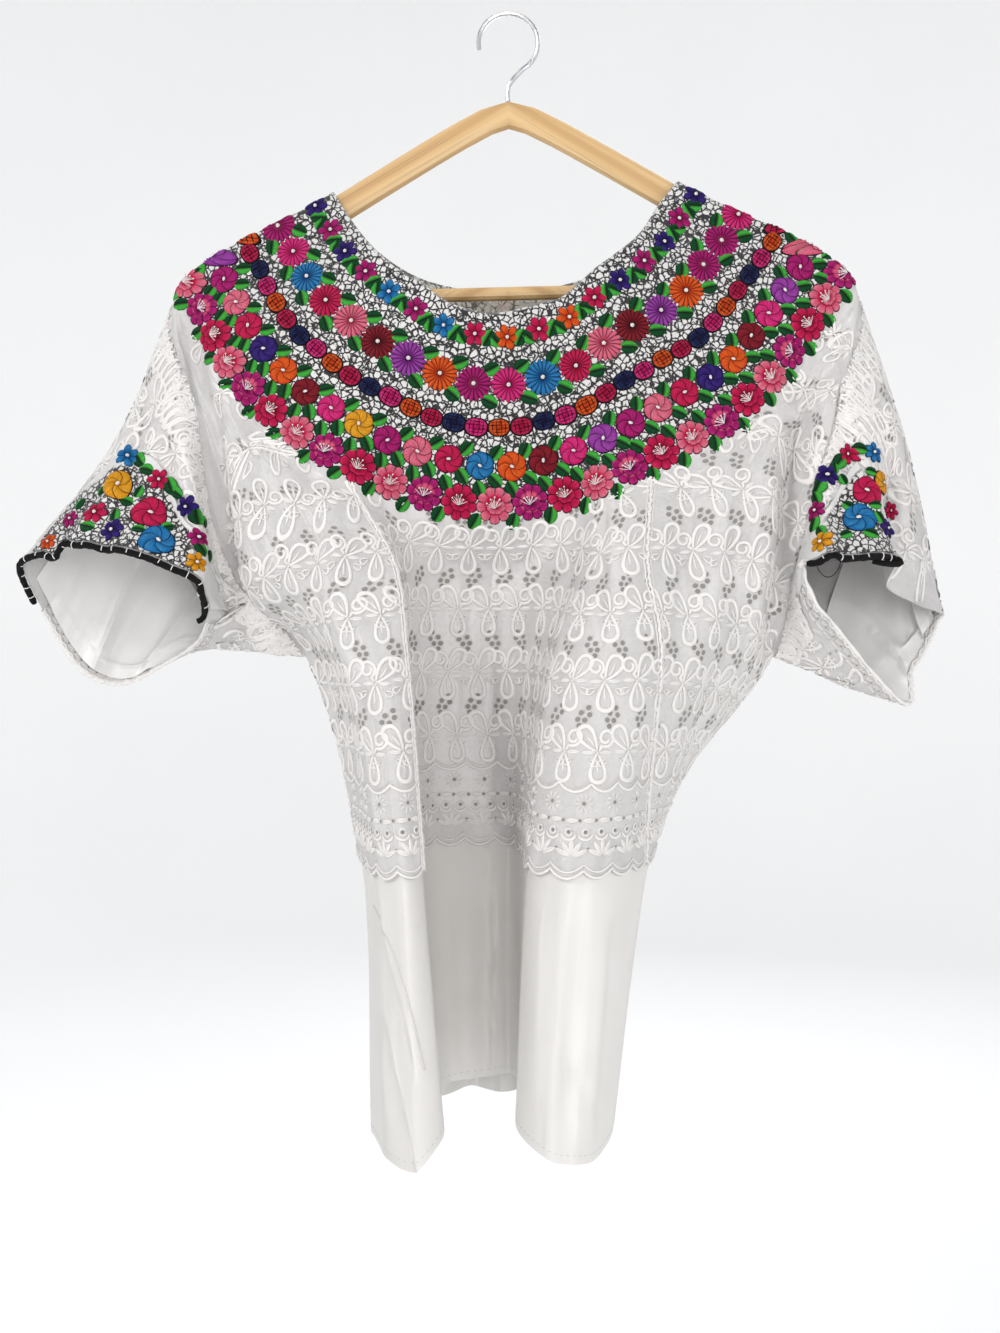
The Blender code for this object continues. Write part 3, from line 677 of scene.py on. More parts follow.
def directions(points, faces, index):
    """Outward direction at each point, averaged over all that lie at the same place."""
    a, b, c = (points[faces[:, k]] for k in range(3))
    normal = np.cross(b - a, c - a)
    total = np.zeros((index.max() + 1, 3))
    for k in range(3):
        np.add.at(total, index[faces[:, k]], normal)
    total /= np.maximum(np.linalg.norm(total, axis=1, keepdims=True), 1e-12)
    return total[index]


def fold(offset, along, width, depth, span=1.0):
    """Height of one crease at offsets from its start, steeper on one side and fading at its ends.

    along runs from its start to its end, and span turns the offsets' unit into mm.
    """
    length = np.linalg.norm(along)
    share = offset @ along / length ** 2
    aside = (offset[..., 0] * along[1] - offset[..., 1] * along[0]) / length * span
    reach = np.where(aside < 0, width * CREASE_STEEP, width)
    fade = np.sin(np.pi * np.clip(share, 0, 1)) ** CREASE_FADE
    return depth * np.exp(-(aside / reach) ** 2) * fade


def crease(points, normals):
    """Points moved out or in by the listed creases of their side."""
    moved = np.zeros(len(points))
    for side, start, end, width, depth in CREASES:
        start, end = np.array(start, float), np.array(end, float)
        facing = -normals[:, 1] if side == "front" else normals[:, 1]
        height = fold(points[:, (0, 2)] - start, end - start, width, depth)
        moved += height * smooth_step(facing * 2)
    return points + normals * moved[:, None]


def lengths(points, axis=0):
    """Distance along a line, or along each line of a grid, from its first point, in mm."""
    steps = np.linalg.norm(np.diff(points, axis=axis), axis=-1)
    return np.insert(np.cumsum(steps, axis), 0, 0, axis)


def unit(vectors):
    """The same directions, each one long."""
    return vectors / np.linalg.norm(vectors, axis=-1, keepdims=True)


def heading(path, closed=False):
    """Direction in which a line runs at each of its points."""
    if closed:
        return unit(np.roll(path, -1, 0) - np.roll(path, 1, 0))
    return unit(np.gradient(path, axis=0))


def walk(line, start, distance, closed):
    """Places on a line of lengths at some distance in mm from a start place."""
    last = len(line) - 1
    places = np.arange(last + 1.0)
    if closed:
        line = np.concatenate([line[:-1] - line[-1], line, line[1:] + line[-1]])
        places = np.concatenate([places[:-1] - last, places, places[1:] + last])
    else:
        first, final = line[1] - line[0], line[-1] - line[-2]
        line = np.concatenate([[line[0] - BEYOND * first], line, [line[-1] + BEYOND * final]])
        places = np.concatenate([[-BEYOND], places, [last + BEYOND]])
    return np.interp(np.interp(start, places, line) + distance, line, places)


class Field:
    """A grid of surface points and outward directions, read at places between them."""

    def __init__(self, points, normals, flip):
        self.points = points
        self.normals = normals
        self.flip = flip
        self.last_row = points.shape[0] - 1
        self.last_column = points.shape[1] - 1
        self.closed = np.allclose(points[:, 0], points[:, -1])
        self.along = lengths(points, 1)
        self.down = lengths(points, 0)

    def read(self, table, rows, columns):
        rows = np.clip(rows, 0, self.last_row)
        columns = np.clip(columns, 0, self.last_column)
        r = np.minimum(rows.astype(int), self.last_row - 1)
        c = np.minimum(columns.astype(int), self.last_column - 1)
        fr = (rows - r)[..., None]
        fc = (columns - c)[..., None]
        top = table[r, c] * (1 - fc) + table[r, c + 1] * fc
        low = table[r + 1, c] * (1 - fc) + table[r + 1, c + 1] * fc
        return top * (1 - fr) + low * fr

    def place(self, rows, columns):
        return self.read(self.points, rows, columns)

    def out(self, rows, columns):
        return self.read(self.normals, rows, columns)

    def steps(self, rows, columns):
        """How the surface runs for one step of column and one step of row."""
        half = 0.6
        columns = np.clip(columns, half, self.last_column - half)
        rows = np.clip(rows, half, self.last_row - half)
        left, right = columns - half, columns + half
        up, down = rows - half, rows + half
        across = (self.place(rows, right) - self.place(rows, left)) / (right - left)[..., None]
        fall = (self.place(down, columns) - self.place(up, columns)) / (down - up)[..., None]
        return across, fall

    def moved(self, rows, columns, across, down):
        """Places that lie across and down, in mm, from the given ones."""
        run, fall = self.steps(rows, columns)
        way = unit(run)
        lean = (fall * way).sum(-1)
        square = np.linalg.norm(fall - way * lean[..., None], axis=-1)
        row_steps = down / square[:, None]
        sink = row_steps * np.linalg.norm(fall, axis=-1)[:, None]
        aside = across - row_steps * lean[:, None]
        out_rows, out_columns = np.empty(sink.shape), np.empty(aside.shape)
        for k, (row, column) in enumerate(zip(rows, columns)):
            r = int(np.clip(row, 0, self.last_row - 1))
            c = int(np.clip(column, 0, self.last_column - 1))
            line = self.along[r] + (self.along[r + 1] - self.along[r]) * (row - r)
            out_columns[k] = walk(line, column, aside[k], self.closed)
            line = self.down[:, c] + (self.down[:, c + 1] - self.down[:, c]) * (column - c)
            out_rows[k] = walk(line, row, sink[k], False)
        return out_rows, out_columns


def heights_above(field, row):
    """Distance up each column from the given row, in mm; negative below it."""
    return field.down[row] - field.down


def wave_cuff(grid):
    """Lift and lower the cuff's edge in its step, less and less up the sleeve."""
    rows, columns = grid.shape[:2]
    place = np.arange(columns) * RING_TURN / (columns - 1)
    rise = sum(height * np.exp(-((place - middle) / half) ** 2)
               for middle, half, height in CUFF_WAVE)
    share = smooth_step((np.arange(rows) - (rows - 1 - CUFF_WAVE_ROWS)) / CUFF_WAVE_ROWS)
    grid[..., 2] += share[:, None] * rise[None, :]


def make_fields():
    """Fields of the front, the back and both sleeves, with the creases in them."""
    front, back = body_grids()
    armhole = slice(ROW["edge"], ROW["underarm"] + 1)
    left = sleeve_grid(SLEEVE_LEFT, [row[0] for row in front[armhole]],
                       [row[0] for row in back[armhole]])
    right = sleeve_grid(SLEEVE_RIGHT, [row[-1] for row in front[armhole]],
                        [row[-1] for row in back[armhole]])
    grids = [as_array(front), as_array(back)]
    grids += [as_array(grid + grid[:1]).transpose(1, 0, 2) for grid in (left, right)]
    wave_cuff(grids[2])
    flips = [False, True, False, True]
    points, faces, starts = [], [], [0]
    for grid, flip in zip(grids, flips):
        faces.append(quads(numbered(*grid.shape[:2]), flip) + starts[-1])
        points.append(grid.reshape(-1, 3))
        starts.append(starts[-1] + len(points[-1]))
    points, faces = np.concatenate(points), np.concatenate(faces)
    index = weld(points)
    moved = crease(points, directions(points, faces, index))
    normals = directions(moved, faces, index)
    fields = []
    for grid, flip, first, last in zip(grids, flips, starts, starts[1:]):
        fields.append(Field(moved[first:last].reshape(grid.shape),
                            normals[first:last].reshape(grid.shape), flip))
    return fields


def linear(colours):
    """Colours from 0 to 255 as light from 0 to 1."""
    share = np.asarray(colours, float) / 255
    return np.where(share <= 0.04045, share / 12.92, ((share + 0.055) / 1.055) ** 2.4)


def new_object(name, data):
    made = bpy.data.objects.new(name, data)
    bpy.context.scene.collection.objects.link(made)
    return made


def add_mesh(name, points, faces, materials, uv=None, colours=None, slots=None, sharp=None):
    """A smooth mesh of triangles from points in millimetres."""
    mesh = bpy.data.meshes.new(name)
    mesh.vertices.add(len(points))
    mesh.vertices.foreach_set("co", (np.asarray(points) * MM).ravel())
    mesh.loops.add(3 * len(faces))
    corners = np.ascontiguousarray(faces, dtype=np.int32).ravel()
    mesh.loops.foreach_set("vertex_index", corners)
    mesh.polygons.add(len(faces))
    mesh.polygons.foreach_set("loop_start", np.arange(0, 3 * len(faces), 3, dtype=np.int32))
    if slots is not None:
        mesh.polygons.foreach_set("material_index", np.asarray(slots, dtype=np.int32))
    if uv is not None:
        layer = mesh.uv_layers.new(name="UVMap")
        layer.data.foreach_set("uv", np.asarray(uv)[corners].ravel())
    if colours is not None:
        layer = mesh.color_attributes.new(name="thread", type="FLOAT_COLOR", domain="POINT")
        shaded = np.concatenate([colours, np.ones((len(colours), 1))], 1)
        layer.data.foreach_set("color", shaded.ravel())
    mesh.update(calc_edges=True)
    mesh.shade_smooth()
    if sharp is not None:
        mesh.set_sharp_from_angle(angle=math.radians(sharp))
    for material in materials:
        mesh.materials.append(material)
    return new_object(name, mesh)


def wall(name, field, rows, columns, lift, thickness, materials, closed=False, tint=None):
    """Cloth with an outer face, an inner face and rims, read from a field at a grid of places.

    The first material is the outer face's and the rims', the last one the inner face's.
    """
    if rows.ndim == 1:
        rows, columns = np.meshgrid(rows.astype(float), columns.astype(float), indexing="ij")
    points, normals = field.place(rows, columns), field.out(rows, columns)
    size, width = rows.shape
    across = lengths(points, 1)
    across -= across[:, width // 2][:, None]
    uv = np.stack([across, lengths(points)], -1) / UV_UNIT
    index = numbered(size, width, closed)
    kept = width - 1 if closed else width
    count = size * kept
    outer = (points + normals * lift)[:, :kept].reshape(-1, 3)
    inner = (points + normals * (lift - thickness))[:, :kept].reshape(-1, 3)
    uv = uv[:, :kept].reshape(-1, 2)
    faces = quads(index, field.flip)
    inside = quads(index, not field.flip) + count
    if closed:
        rims = [index[0], index[-1, ::-1]]
    else:
        rims = [np.concatenate([index[::-1, 0], index[0, 1:], index[1:, -1], index[-1, -2::-1]])]
    edge = []
    for rim in rims:
        a, b = rim[:-1], rim[1:]
        edge += [np.stack([a, b, b + count], 1), np.stack([a, b + count, a + count], 1)]
    edge = np.concatenate(edge)
    edge = edge[:, ::-1] if field.flip else edge
    slots = np.concatenate([np.zeros(len(faces)), np.full(len(inside), len(materials) - 1),
                            np.zeros(len(edge))])
    colours = None
    if tint is not None:
        colours = np.tile(np.repeat(tint[:, :kept].reshape(-1, 1), 3, 1), (2, 1))
    return add_mesh(name, np.concatenate([outer, inner]), np.concatenate([faces, inside, edge]),
                    materials, np.concatenate([uv, uv]), colours, slots=slots, sharp=50)


class Motif:
    """A small raised shape: points across and down in mm, heights, shades, stitch uv, triangles."""

    def __init__(self, flat, height, shade, uv, faces):
        self.flat = np.asarray(flat, float)
        self.height = np.asarray(height, float)
        self.shade = np.asarray(shade, float)
        self.uv = np.asarray(uv, float)
        self.faces = np.asarray(faces, int)

    def turned(self, degrees=0.0, scale=1.0, shift=(0, 0), lift=0.0):
        angle = math.radians(degrees)
        turn = np.array([[math.cos(angle), math.sin(angle)], [-math.sin(angle), math.cos(angle)]])
        scale = np.broadcast_to(scale, 2)
        return Motif(self.flat * scale @ turn + np.array(shift), self.height + lift, self.shade,
                     self.uv * scale[0], self.faces)


def stacked(faces, points):
    """Triangles of several pieces in one list, numbered on from piece to piece."""
    starts = np.cumsum([0] + [len(part) for part in points])
    return np.concatenate([part + start for part, start in zip(faces, starts)])


def joined(motifs):
    """One motif from several."""
    flat, height, shade, uv = ([getattr(motif, key) for motif in motifs]
                               for key in ("flat", "height", "shade", "uv"))
    faces = stacked([motif.faces for motif in motifs], flat)
    return Motif(*map(np.concatenate, (flat, height, shade, uv)), faces)


def one_shade(shade, count):
    table = np.zeros((count, 6))
    table[:, shade] = 1
    return table


def blossom(petals, radius, notch, point, swirl, groove, rings, across=(0.3, 0.5, 0.7)):
    """Round flower. Each ring: share of the radius, height, shades in the groove between two
    petals, on a petal's first side and on its second side."""
    offsets = [0.0, groove, *across, 1 - groove]
    per_ring = petals * len(offsets)
    flat, height, shade, uv = [(0, 0)], [rings[0][1]], [np.eye(6)[rings[0][3]]], [(0, 0)]
    for share, rise, in_groove, first, second in rings:
        for petal in range(petals):
            for offset in offsets:
                angle = 2 * math.pi * (petal + offset) / petals + swirl * (1 - share)
                bow = math.sin(math.pi * offset) ** point
                reach = radius * share * (1 - notch * share * (1 - bow))
                flat.append((reach * math.cos(angle), reach * math.sin(angle)))
                height.append(rise * (0.55 + 0.45 * bow) if rise > 0 else rise)
                if offset == 0:
                    shade.append(np.eye(6)[in_groove])
                else:
                    shade.append(np.eye(6)[first] * (1 - offset) + np.eye(6)[second] * offset)
                uv.append((angle * radius * 0.6, radius * share))
    faces = []
    for k in range(per_ring):
        following = (k + 1) % per_ring
        faces.append((0, 1 + following, 1 + k))
        for ring in range(len(rings) - 1):
            a, b = 1 + ring * per_ring, 1 + (ring + 1) * per_ring
            faces.append((a + k, a + following, b + k))
            faces.append((a + following, b + following, b + k))
    return Motif(flat, height, shade, uv, faces)


def satin_shades(shade, count):
    """Shades across a satin line, with a darker rim of painted shade on both sides of a light one."""
    # The dark rim is painted shade where the raised satin meets the cloth
    rim = DARK if shade in (MAIN, LIGHT) else shade
    return np.tile(np.eye(6)[[rim, shade, shade, rim]], (count, 1))


def ribbon(path, width, height, shade, closed=False, ends=True):
    """Raised satin line along a path: low at both sides, high in the middle."""
    path = np.asarray(path, float)
    count = len(path)
    width = np.broadcast_to(width, count).astype(float)
    if ends and not closed:
        from_end = np.minimum(np.arange(count), np.arange(count)[::-1])
        width = width * np.minimum(1, 0.35 + from_end * 0.65)
    ahead = heading(path, closed)
    aside = np.stack([-ahead[:, 1], ahead[:, 0]], 1)
    along = lengths(path)
    flat, rise, uv = [], [], []
    for share, level in ((-0.5, -0.1), (-0.28, 0.8), (0.28, 0.8), (0.5, -0.1)):
        flat.append(path + aside * (width * share)[:, None])
        rise.append(np.full(count, level * height if level > 0 else -0.15))
        uv.append(np.stack([along, width * share], 1))
    flat = np.stack(flat, 1).reshape(-1, 2)
    index = numbered(count, 4)
    if closed:
        index = np.concatenate([index, index[:1]])
    return Motif(flat, np.stack(rise, 1).ravel(), satin_shades(shade, count),
                 np.stack(uv, 1).reshape(-1, 2), quads(index, True))


def spindle(length, width, height, sides, fullness=0.75, steps=7):
    """Leaf-shaped satin from its stalk at the origin along +x. sides: rim, first half, vein and
    second half shades."""
    rim, first, vein, second = sides
    across = ((-1, -0.15, rim), (-0.82, 0.5, first), (-0.42, 1.0, first), (0, 0.7, vein),
              (0.42, 1.0, second), (0.82, 0.5, second), (1, -0.15, rim))
    flat, rise, shade, uv = [], [], [], []
    for k in range(steps + 1):
        share = k / steps
        half = width / 2 * math.sin(math.pi * (0.03 + 0.94 * share)) ** fullness
        for place, level, tone in across:
            flat.append((length * share, half * place))
            fade = min(1, 0.25 + 3 * min(share, 1 - share))
            rise.append(level * height * fade if level > 0 else level)
            shade.append(np.eye(6)[tone])
            uv.append((length * share, half * place))
    return Motif(flat, rise, shade, uv, quads(numbered(steps + 1, len(across)), True))


def disc(radius, height, shade, sides=10):
    """Flat round spot."""
    angles = 2 * math.pi * np.arange(sides) / sides
    flat = np.concatenate([[(0, 0)], radius * np.stack([np.cos(angles), np.sin(angles)], 1)])
    faces = [(0, 1 + (k + 1) % sides, 1 + k) for k in range(sides)]
    return Motif(flat, np.full(sides + 1, height), one_shade(shade, sides + 1), flat, faces)


def circle(radius, sides, start=0.0, turn=360.0):
    count = sides if turn == 360 else sides + 1
    angles = np.radians(start + turn * np.arange(count) / sides)
    return radius * np.stack([np.cos(angles), np.sin(angles)], 1)


def knot(radius, shade):
    """Round knot of thread."""
    flat, rise = [(0, 0)], [radius + 1.0]
    for share, level in ((0.6, 0.85), (1.0, 0.1)):
        flat.extend(circle(radius * share, 8))
        rise.extend([level * radius + 0.9] * 8)
    faces = []
    for k in range(8):
        following = (k + 1) % 8
        faces += [(0, 1 + k, 1 + following), (1 + k, 9 + k, 9 + following),
                  (1 + k, 9 + following, 1 + following)]
    return Motif(flat, rise, one_shade(shade, len(flat)), flat, np.array(faces)[:, ::-1])


def daisy():
    rings = ((0.10, 0.7, INK, HEART_AND_PAINTED_SHADE, DARK), (0.32, 1.1, INK, MAIN, MAIN),
             (0.58, 1.4, INK, MAIN, LIGHT), (0.80, 1.3, DARK, MAIN, LIGHT),
             (0.95, 0.8, INK, MAIN, LIGHT), (1.0, 0.3, INK, MAIN, DARK),
             (1.03, -0.3, INK, INK, INK))
    return joined([blossom(19, 12.4, 0.15, 1.0, 0, 0.27, rings), knot(1.5, WHITE)])


def wheel():
    rings = ((0.10, 0.9, INK, DARK, MAIN), (0.3, 1.5, INK, MAIN, LIGHT),
             (0.55, 1.9, INK, MAIN, LIGHT), (0.78, 1.7, INK, MAIN, LIGHT),
             (0.90, 1.1, INK, MAIN, MAIN), (0.95, 0.8, INK, MAIN, MAIN),
             (0.97, 0.7, INK, INK, INK), (1.05, -0.3, INK, INK, INK))
    return joined([blossom(6, 9.6, 0.05, 0.6, 1.15, 0.085, rings, (0.2, 0.4, 0.6, 0.8)),
                   knot(1.2, WHITE).turned(scale=(0.8, 1.3), lift=0.4)])


def small_flower():
    rings = ((0.12, 0.7, INK, DARK, DARK), (0.4, 1.1, INK, MAIN, MAIN),
             (0.7, 1.4, INK, MAIN, LIGHT), (0.90, 0.9, INK, MAIN, LIGHT),
             (0.97, 0.5, INK, DARK, MAIN), (1.05, -0.3, INK, INK, INK))
    return joined([blossom(6, 8.5, 0.40, 0.8, 0.15, 0.13, rings), knot(1.25, WHITE)])


def peony(seed):
    """Flower with rounded petals, a darker cup and white stamens."""
    rings = ((0.06, 0.9, HEART_AND_PAINTED_SHADE, HEART_AND_PAINTED_SHADE, HEART_AND_PAINTED_SHADE), (0.28, 1.2, HEART_AND_PAINTED_SHADE, HEART_AND_PAINTED_SHADE, HEART_AND_PAINTED_SHADE),
             (0.46, 1.4, DARK, HEART_AND_PAINTED_SHADE, HEART_AND_PAINTED_SHADE), (0.62, 1.7, DARK, MAIN, MAIN),
             (0.82, 1.6, INK, MAIN, LIGHT), (0.91, 1.1, INK, LIGHT, LIGHT),
             (0.95, 0.8, INK, MAIN, MAIN), (0.97, 0.6, INK, INK, INK), (1.04, -0.3, INK, INK, INK))
    random = np.random.default_rng(seed)
    parts = [blossom(9, 12.8, 0.19, 0.55, 0.0, 0.11, rings)]
    cup = ((0.1, 0.4, DARK, DARK, DARK), (0.5, 0.8, DARK, MAIN, MAIN), (0.85, 0.7, MAIN, LIGHT, LIGHT),
           (0.95, 0.4, INK, DARK, DARK), (1.06, -0.2, INK, INK, INK))
    parts.append(blossom(7, 5.4, 0.2, 0.6, 0.3, 0.08, cup).turned(scale=(1.25, 0.9), lift=1.3,
                                                                   shift=(0.8, 1.6)))
    for k in range(9):
        angle = math.radians(-150 + 15 * k + random.uniform(-6, 6))
        reach = random.uniform(5.0, 7.4)
        foot = np.array((-0.4, 2.0))
        tip = foot + reach * np.array((math.cos(angle), math.sin(angle)))
        bend = (foot + tip) / 2 + random.uniform(-0.7, 0.7, 2)
        parts.append(ribbon([foot, bend, tip], 0.55, 0.5, WHITE).turned(lift=1.9))
        if k % 2:
            parts.append(disc(0.6, 2.5, WHITE, 6).turned(shift=tip))
    return joined(parts)


def bead():
    """Oval of the chain, with a lattice of dark stitches over it."""
    rings = ((0.3, 1.7, MAIN, MAIN, MAIN), (0.6, 1.5, MAIN, MAIN, LIGHT),
             (0.84, 1.1, MAIN, MAIN, LIGHT), (0.93, 0.8, INK, INK, INK),
             (1.0, 0.5, INK, INK, INK), (1.08, -0.3, INK, INK, INK))
    parts = [blossom(4, 7.4, 0.06, 0.7, 0.4, 0.1, rings, (0.2, 0.35, 0.5, 0.65, 0.8))]
    for place in (-3.6, -1.2, 1.2, 3.6):
        half = math.sqrt(1 - (place / 7.2) ** 2) * 6.2
        steps = np.linspace(-1, 1, 6)
        bow = 0.5 * (1 - steps ** 2) * (1 if place > 0 else -1)
        dome = 1.6 - 0.9 * (place / 7) ** 2 - 0.9 * (steps * half / 7) ** 2
        for swap in (False, True):
            path = np.stack([place + bow, steps * half], 1)
            line = ribbon(path[:, ::-1] if swap else path, 0.62, 0.35, INK)
            line.height = line.height + np.repeat(dome, 4)
            if swap:
                line.faces = line.faces[:, ::-1]
            parts.append(line)
    return joined(parts).turned(scale=(1.16, 0.94))


def leaf(length=9.0):
    return spindle(length, length * 0.84, 1.3, (INK, LIGHT, INK, DARK), 0.58)


def teardrop(length, width, count):
    """Closed outline of a loop with its narrow end at the origin, along -y."""
    turn = 2 * math.pi * np.arange(count) / count
    away = (1 - np.cos(turn)) / 2
    return np.stack([width / 2 * np.sin(turn) * (0.3 + 0.85 * away), -length * away], 1)


def eyelet(radius=HOLE_RADIUS):
    # The hole is a grey disc of painted shade, for the shadowed lining seen through it
    return joined([disc(radius + 0.1, 0.12, HEART_AND_PAINTED_SHADE, 8),
                   ribbon(circle(radius + 0.5, 8), 0.9, 0.5, MAIN, closed=True)])


def loop(length, width, stroke, vein=True, count=15):
    """Satin loop with a finer line inside it."""
    outline = teardrop(length, width, count)
    thick = stroke * (0.6 + 0.5 * (-outline[:, 1] / length))
    parts = [ribbon(outline, thick, 1.2, LIGHT, closed=True)]
    if vein:
        steps = np.linspace(0.16, 0.66, 5)
        middle = np.stack([0.5 * np.sin(steps * 5), -length * steps], 1)
        parts.append(ribbon(middle, 1.7, 0.8, LIGHT))
    return joined(parts)


def curl(length, width):
    """Satin loop that rolls in to a small curl."""
    turn = np.linspace(0, 2.6 * math.pi, 17)
    size = np.linspace(1.0, 0.42, 17)
    x = width / 2 * np.sin(turn) * size
    y = -length * 0.62 + length * 0.38 * np.cos(turn) * size
    stem = np.array([(0, 0), (0.3, -length * 0.12)])
    return ribbon(np.concatenate([stem, np.stack([x, y], 1)]), 3.1, 1.2, LIGHT)


def lace_repeat(mirror):
    """One repeat of the lace: two loops above a bar of satin leaves, one below, five eyelets."""
    sign = -1 if mirror else 1
    satin = spindle(8.8, 3.3, 1.1, SATIN, steps=5)
    parts = [loop(18.2, 12.4, 3.7).turned(-33 * sign, shift=(-0.6 * sign, -1.0)),
             curl(16.4, 11.6).turned(31 * sign, shift=(0.8 * sign, -0.8)),
             loop(18.4, 12.0, 3.7).turned(180, shift=(0, 1.0)),
             satin.turned(0, shift=(1.4, 0)), satin.turned(180, shift=(-1.4, 0)),
             loop(6.4, 4.6, 1.7, False, 10).turned(118, shift=(-6.0 * sign, 5.0)),
             loop(6.4, 4.6, 1.7, False, 10).turned(-118, shift=(6.0 * sign, 5.0)),
             knot(0.9, LIGHT).turned(lift=-0.7)]
    for x, y in HOLE_CLUSTER:
        parts.append(eyelet().turned(shift=(LACE_ACROSS / 2 + sign * x, y - LACE_DOWN / 2)))
    return joined(parts)


def scallop(places):
    """How far a scalloped line hangs down at each place along it."""
    return SCALLOP_DEPTH * np.abs(np.sin(math.pi * places / LACE_ACROSS)) ** 0.8


def border_bands():
    """Rows of the border above the scalloped hem: height of each row and its repeat."""
    satin = spindle(8.4, 3.9, 1.4, SATIN, steps=5)
    petal = spindle(10.6, 4.0, 1.5, SATIN, steps=5)
    small = spindle(4.4, 1.7, 1.0, SATIN, steps=3)
    half = LACE_ACROSS / 2
    burst = [eyelet(1.2)]
    for k in range(10):
        burst.append(small.turned(36 * k, shift=circle(2.6, 10)[k]))
    chain = [eyelet(1.0).turned(shift=(-half, 0)), eyelet(1.0),
             satin.turned(shift=(-9.4, 0)), satin.turned(shift=(1.6, 0))]
    rings = []
    # Each ring holds a grey disc of painted shade for its hole
    for x in (-5.5, 5.5):
        rings += [ribbon(circle(2.2, 9) + (x, 0), 1.7, 1.0, LIGHT, closed=True),
                  disc(1.2, 0.12, HEART_AND_PAINTED_SHADE, 7).turned(shift=(x, 0)),
                  ribbon(circle(5.0, 9, 15, 150) + (x, 0), 2.3, 1.1, LIGHT)]
    spray = [petal.turned(angle, shift=circle(1.2, 1, angle)[0])
             for angle in (-156, -123, -90, -57, -24)]
    spray.append(eyelet(1.0).turned(shift=(half, -5)))
    return ((44, joined(burst)), (33, joined(chain)), (25.5, joined(rings)), (9.5, joined(spray)))


class Stitches:
    """Collects motifs laid on fields and makes them into one mesh."""

    def __init__(self):
        self.points, self.colours, self.uv, self.faces = [], [], [], []

    def add(self, points, colours, uv, faces):
        for kept, new in zip((self.points, self.colours, self.uv, self.faces),
                             (points, colours, uv, faces)):
            kept.append(new)

    def lay(self, field, motif, rows, columns, colours, lift=0.0, turn=None, scale=None,
            wrap=False, inside=None, under=False):
        """Lay a motif at each place. colours: one name, or one for each place."""
        rows, columns = np.atleast_1d(rows).astype(float), np.atleast_1d(columns).astype(float)
        amount = len(rows)
        if not amount:
            return
        names = [colours] * amount if isinstance(colours, str) else colours
        flat = np.broadcast_to(motif.flat, (amount, *motif.flat.shape)).copy()
        if scale is not None:
            flat *= np.broadcast_to(np.asarray(scale, float), amount)[:, None, None]
        if turn is not None:
            angle = np.radians(np.broadcast_to(turn, amount))
            cosine, sine = np.cos(angle)[:, None], np.sin(angle)[:, None]
            flat = np.stack([flat[..., 0] * cosine - flat[..., 1] * sine,
                             flat[..., 0] * sine + flat[..., 1] * cosine], -1)
        place_rows, place_columns = field.moved(rows, columns, flat[..., 0], flat[..., 1])
        keep = inside(place_rows, place_columns) if inside else np.ones(place_rows.shape, bool)
        if wrap:
            place_columns = np.mod(place_columns, field.last_column)
        normals = unit(field.out(place_rows, place_columns))
        if under:
            normals = -normals
        height = motif.height + lift
        points = field.place(place_rows, place_columns) + normals * height[None, :, None]
        palette = np.array([[THREADS[n][0], THREADS[n][1], THREADS[n][2], INK_RGB, WHITE_RGB,
                             PEONY_HEARTS.get(n, THREADS[n][3])] for n in names])
        colour = np.einsum("vs,msk->mvk", motif.shade, linear(palette))
        flip = field.flip != under
        faces = motif.faces[:, ::-1] if flip else motif.faces
        faces = faces[None] + (np.arange(amount) * len(motif.flat))[:, None, None]
        faces = faces.reshape(-1, 3)
        keep = keep.ravel()
        faces = faces[keep[faces].all(1)]
        used = np.unique(faces)
        if not len(used):
            return
        renumber = np.zeros(len(keep), int)
        renumber[used] = np.arange(len(used))
        self.add(points.reshape(-1, 3)[used], colour.reshape(-1, 3)[used],
                 np.tile(motif.uv, (amount, 1))[used], renumber[faces])

    def make(self, name, material):
        faces = stacked(self.faces, self.points)
        return add_mesh(name, np.concatenate(self.points), faces, [material],
                        np.concatenate(self.uv), np.concatenate(self.colours))


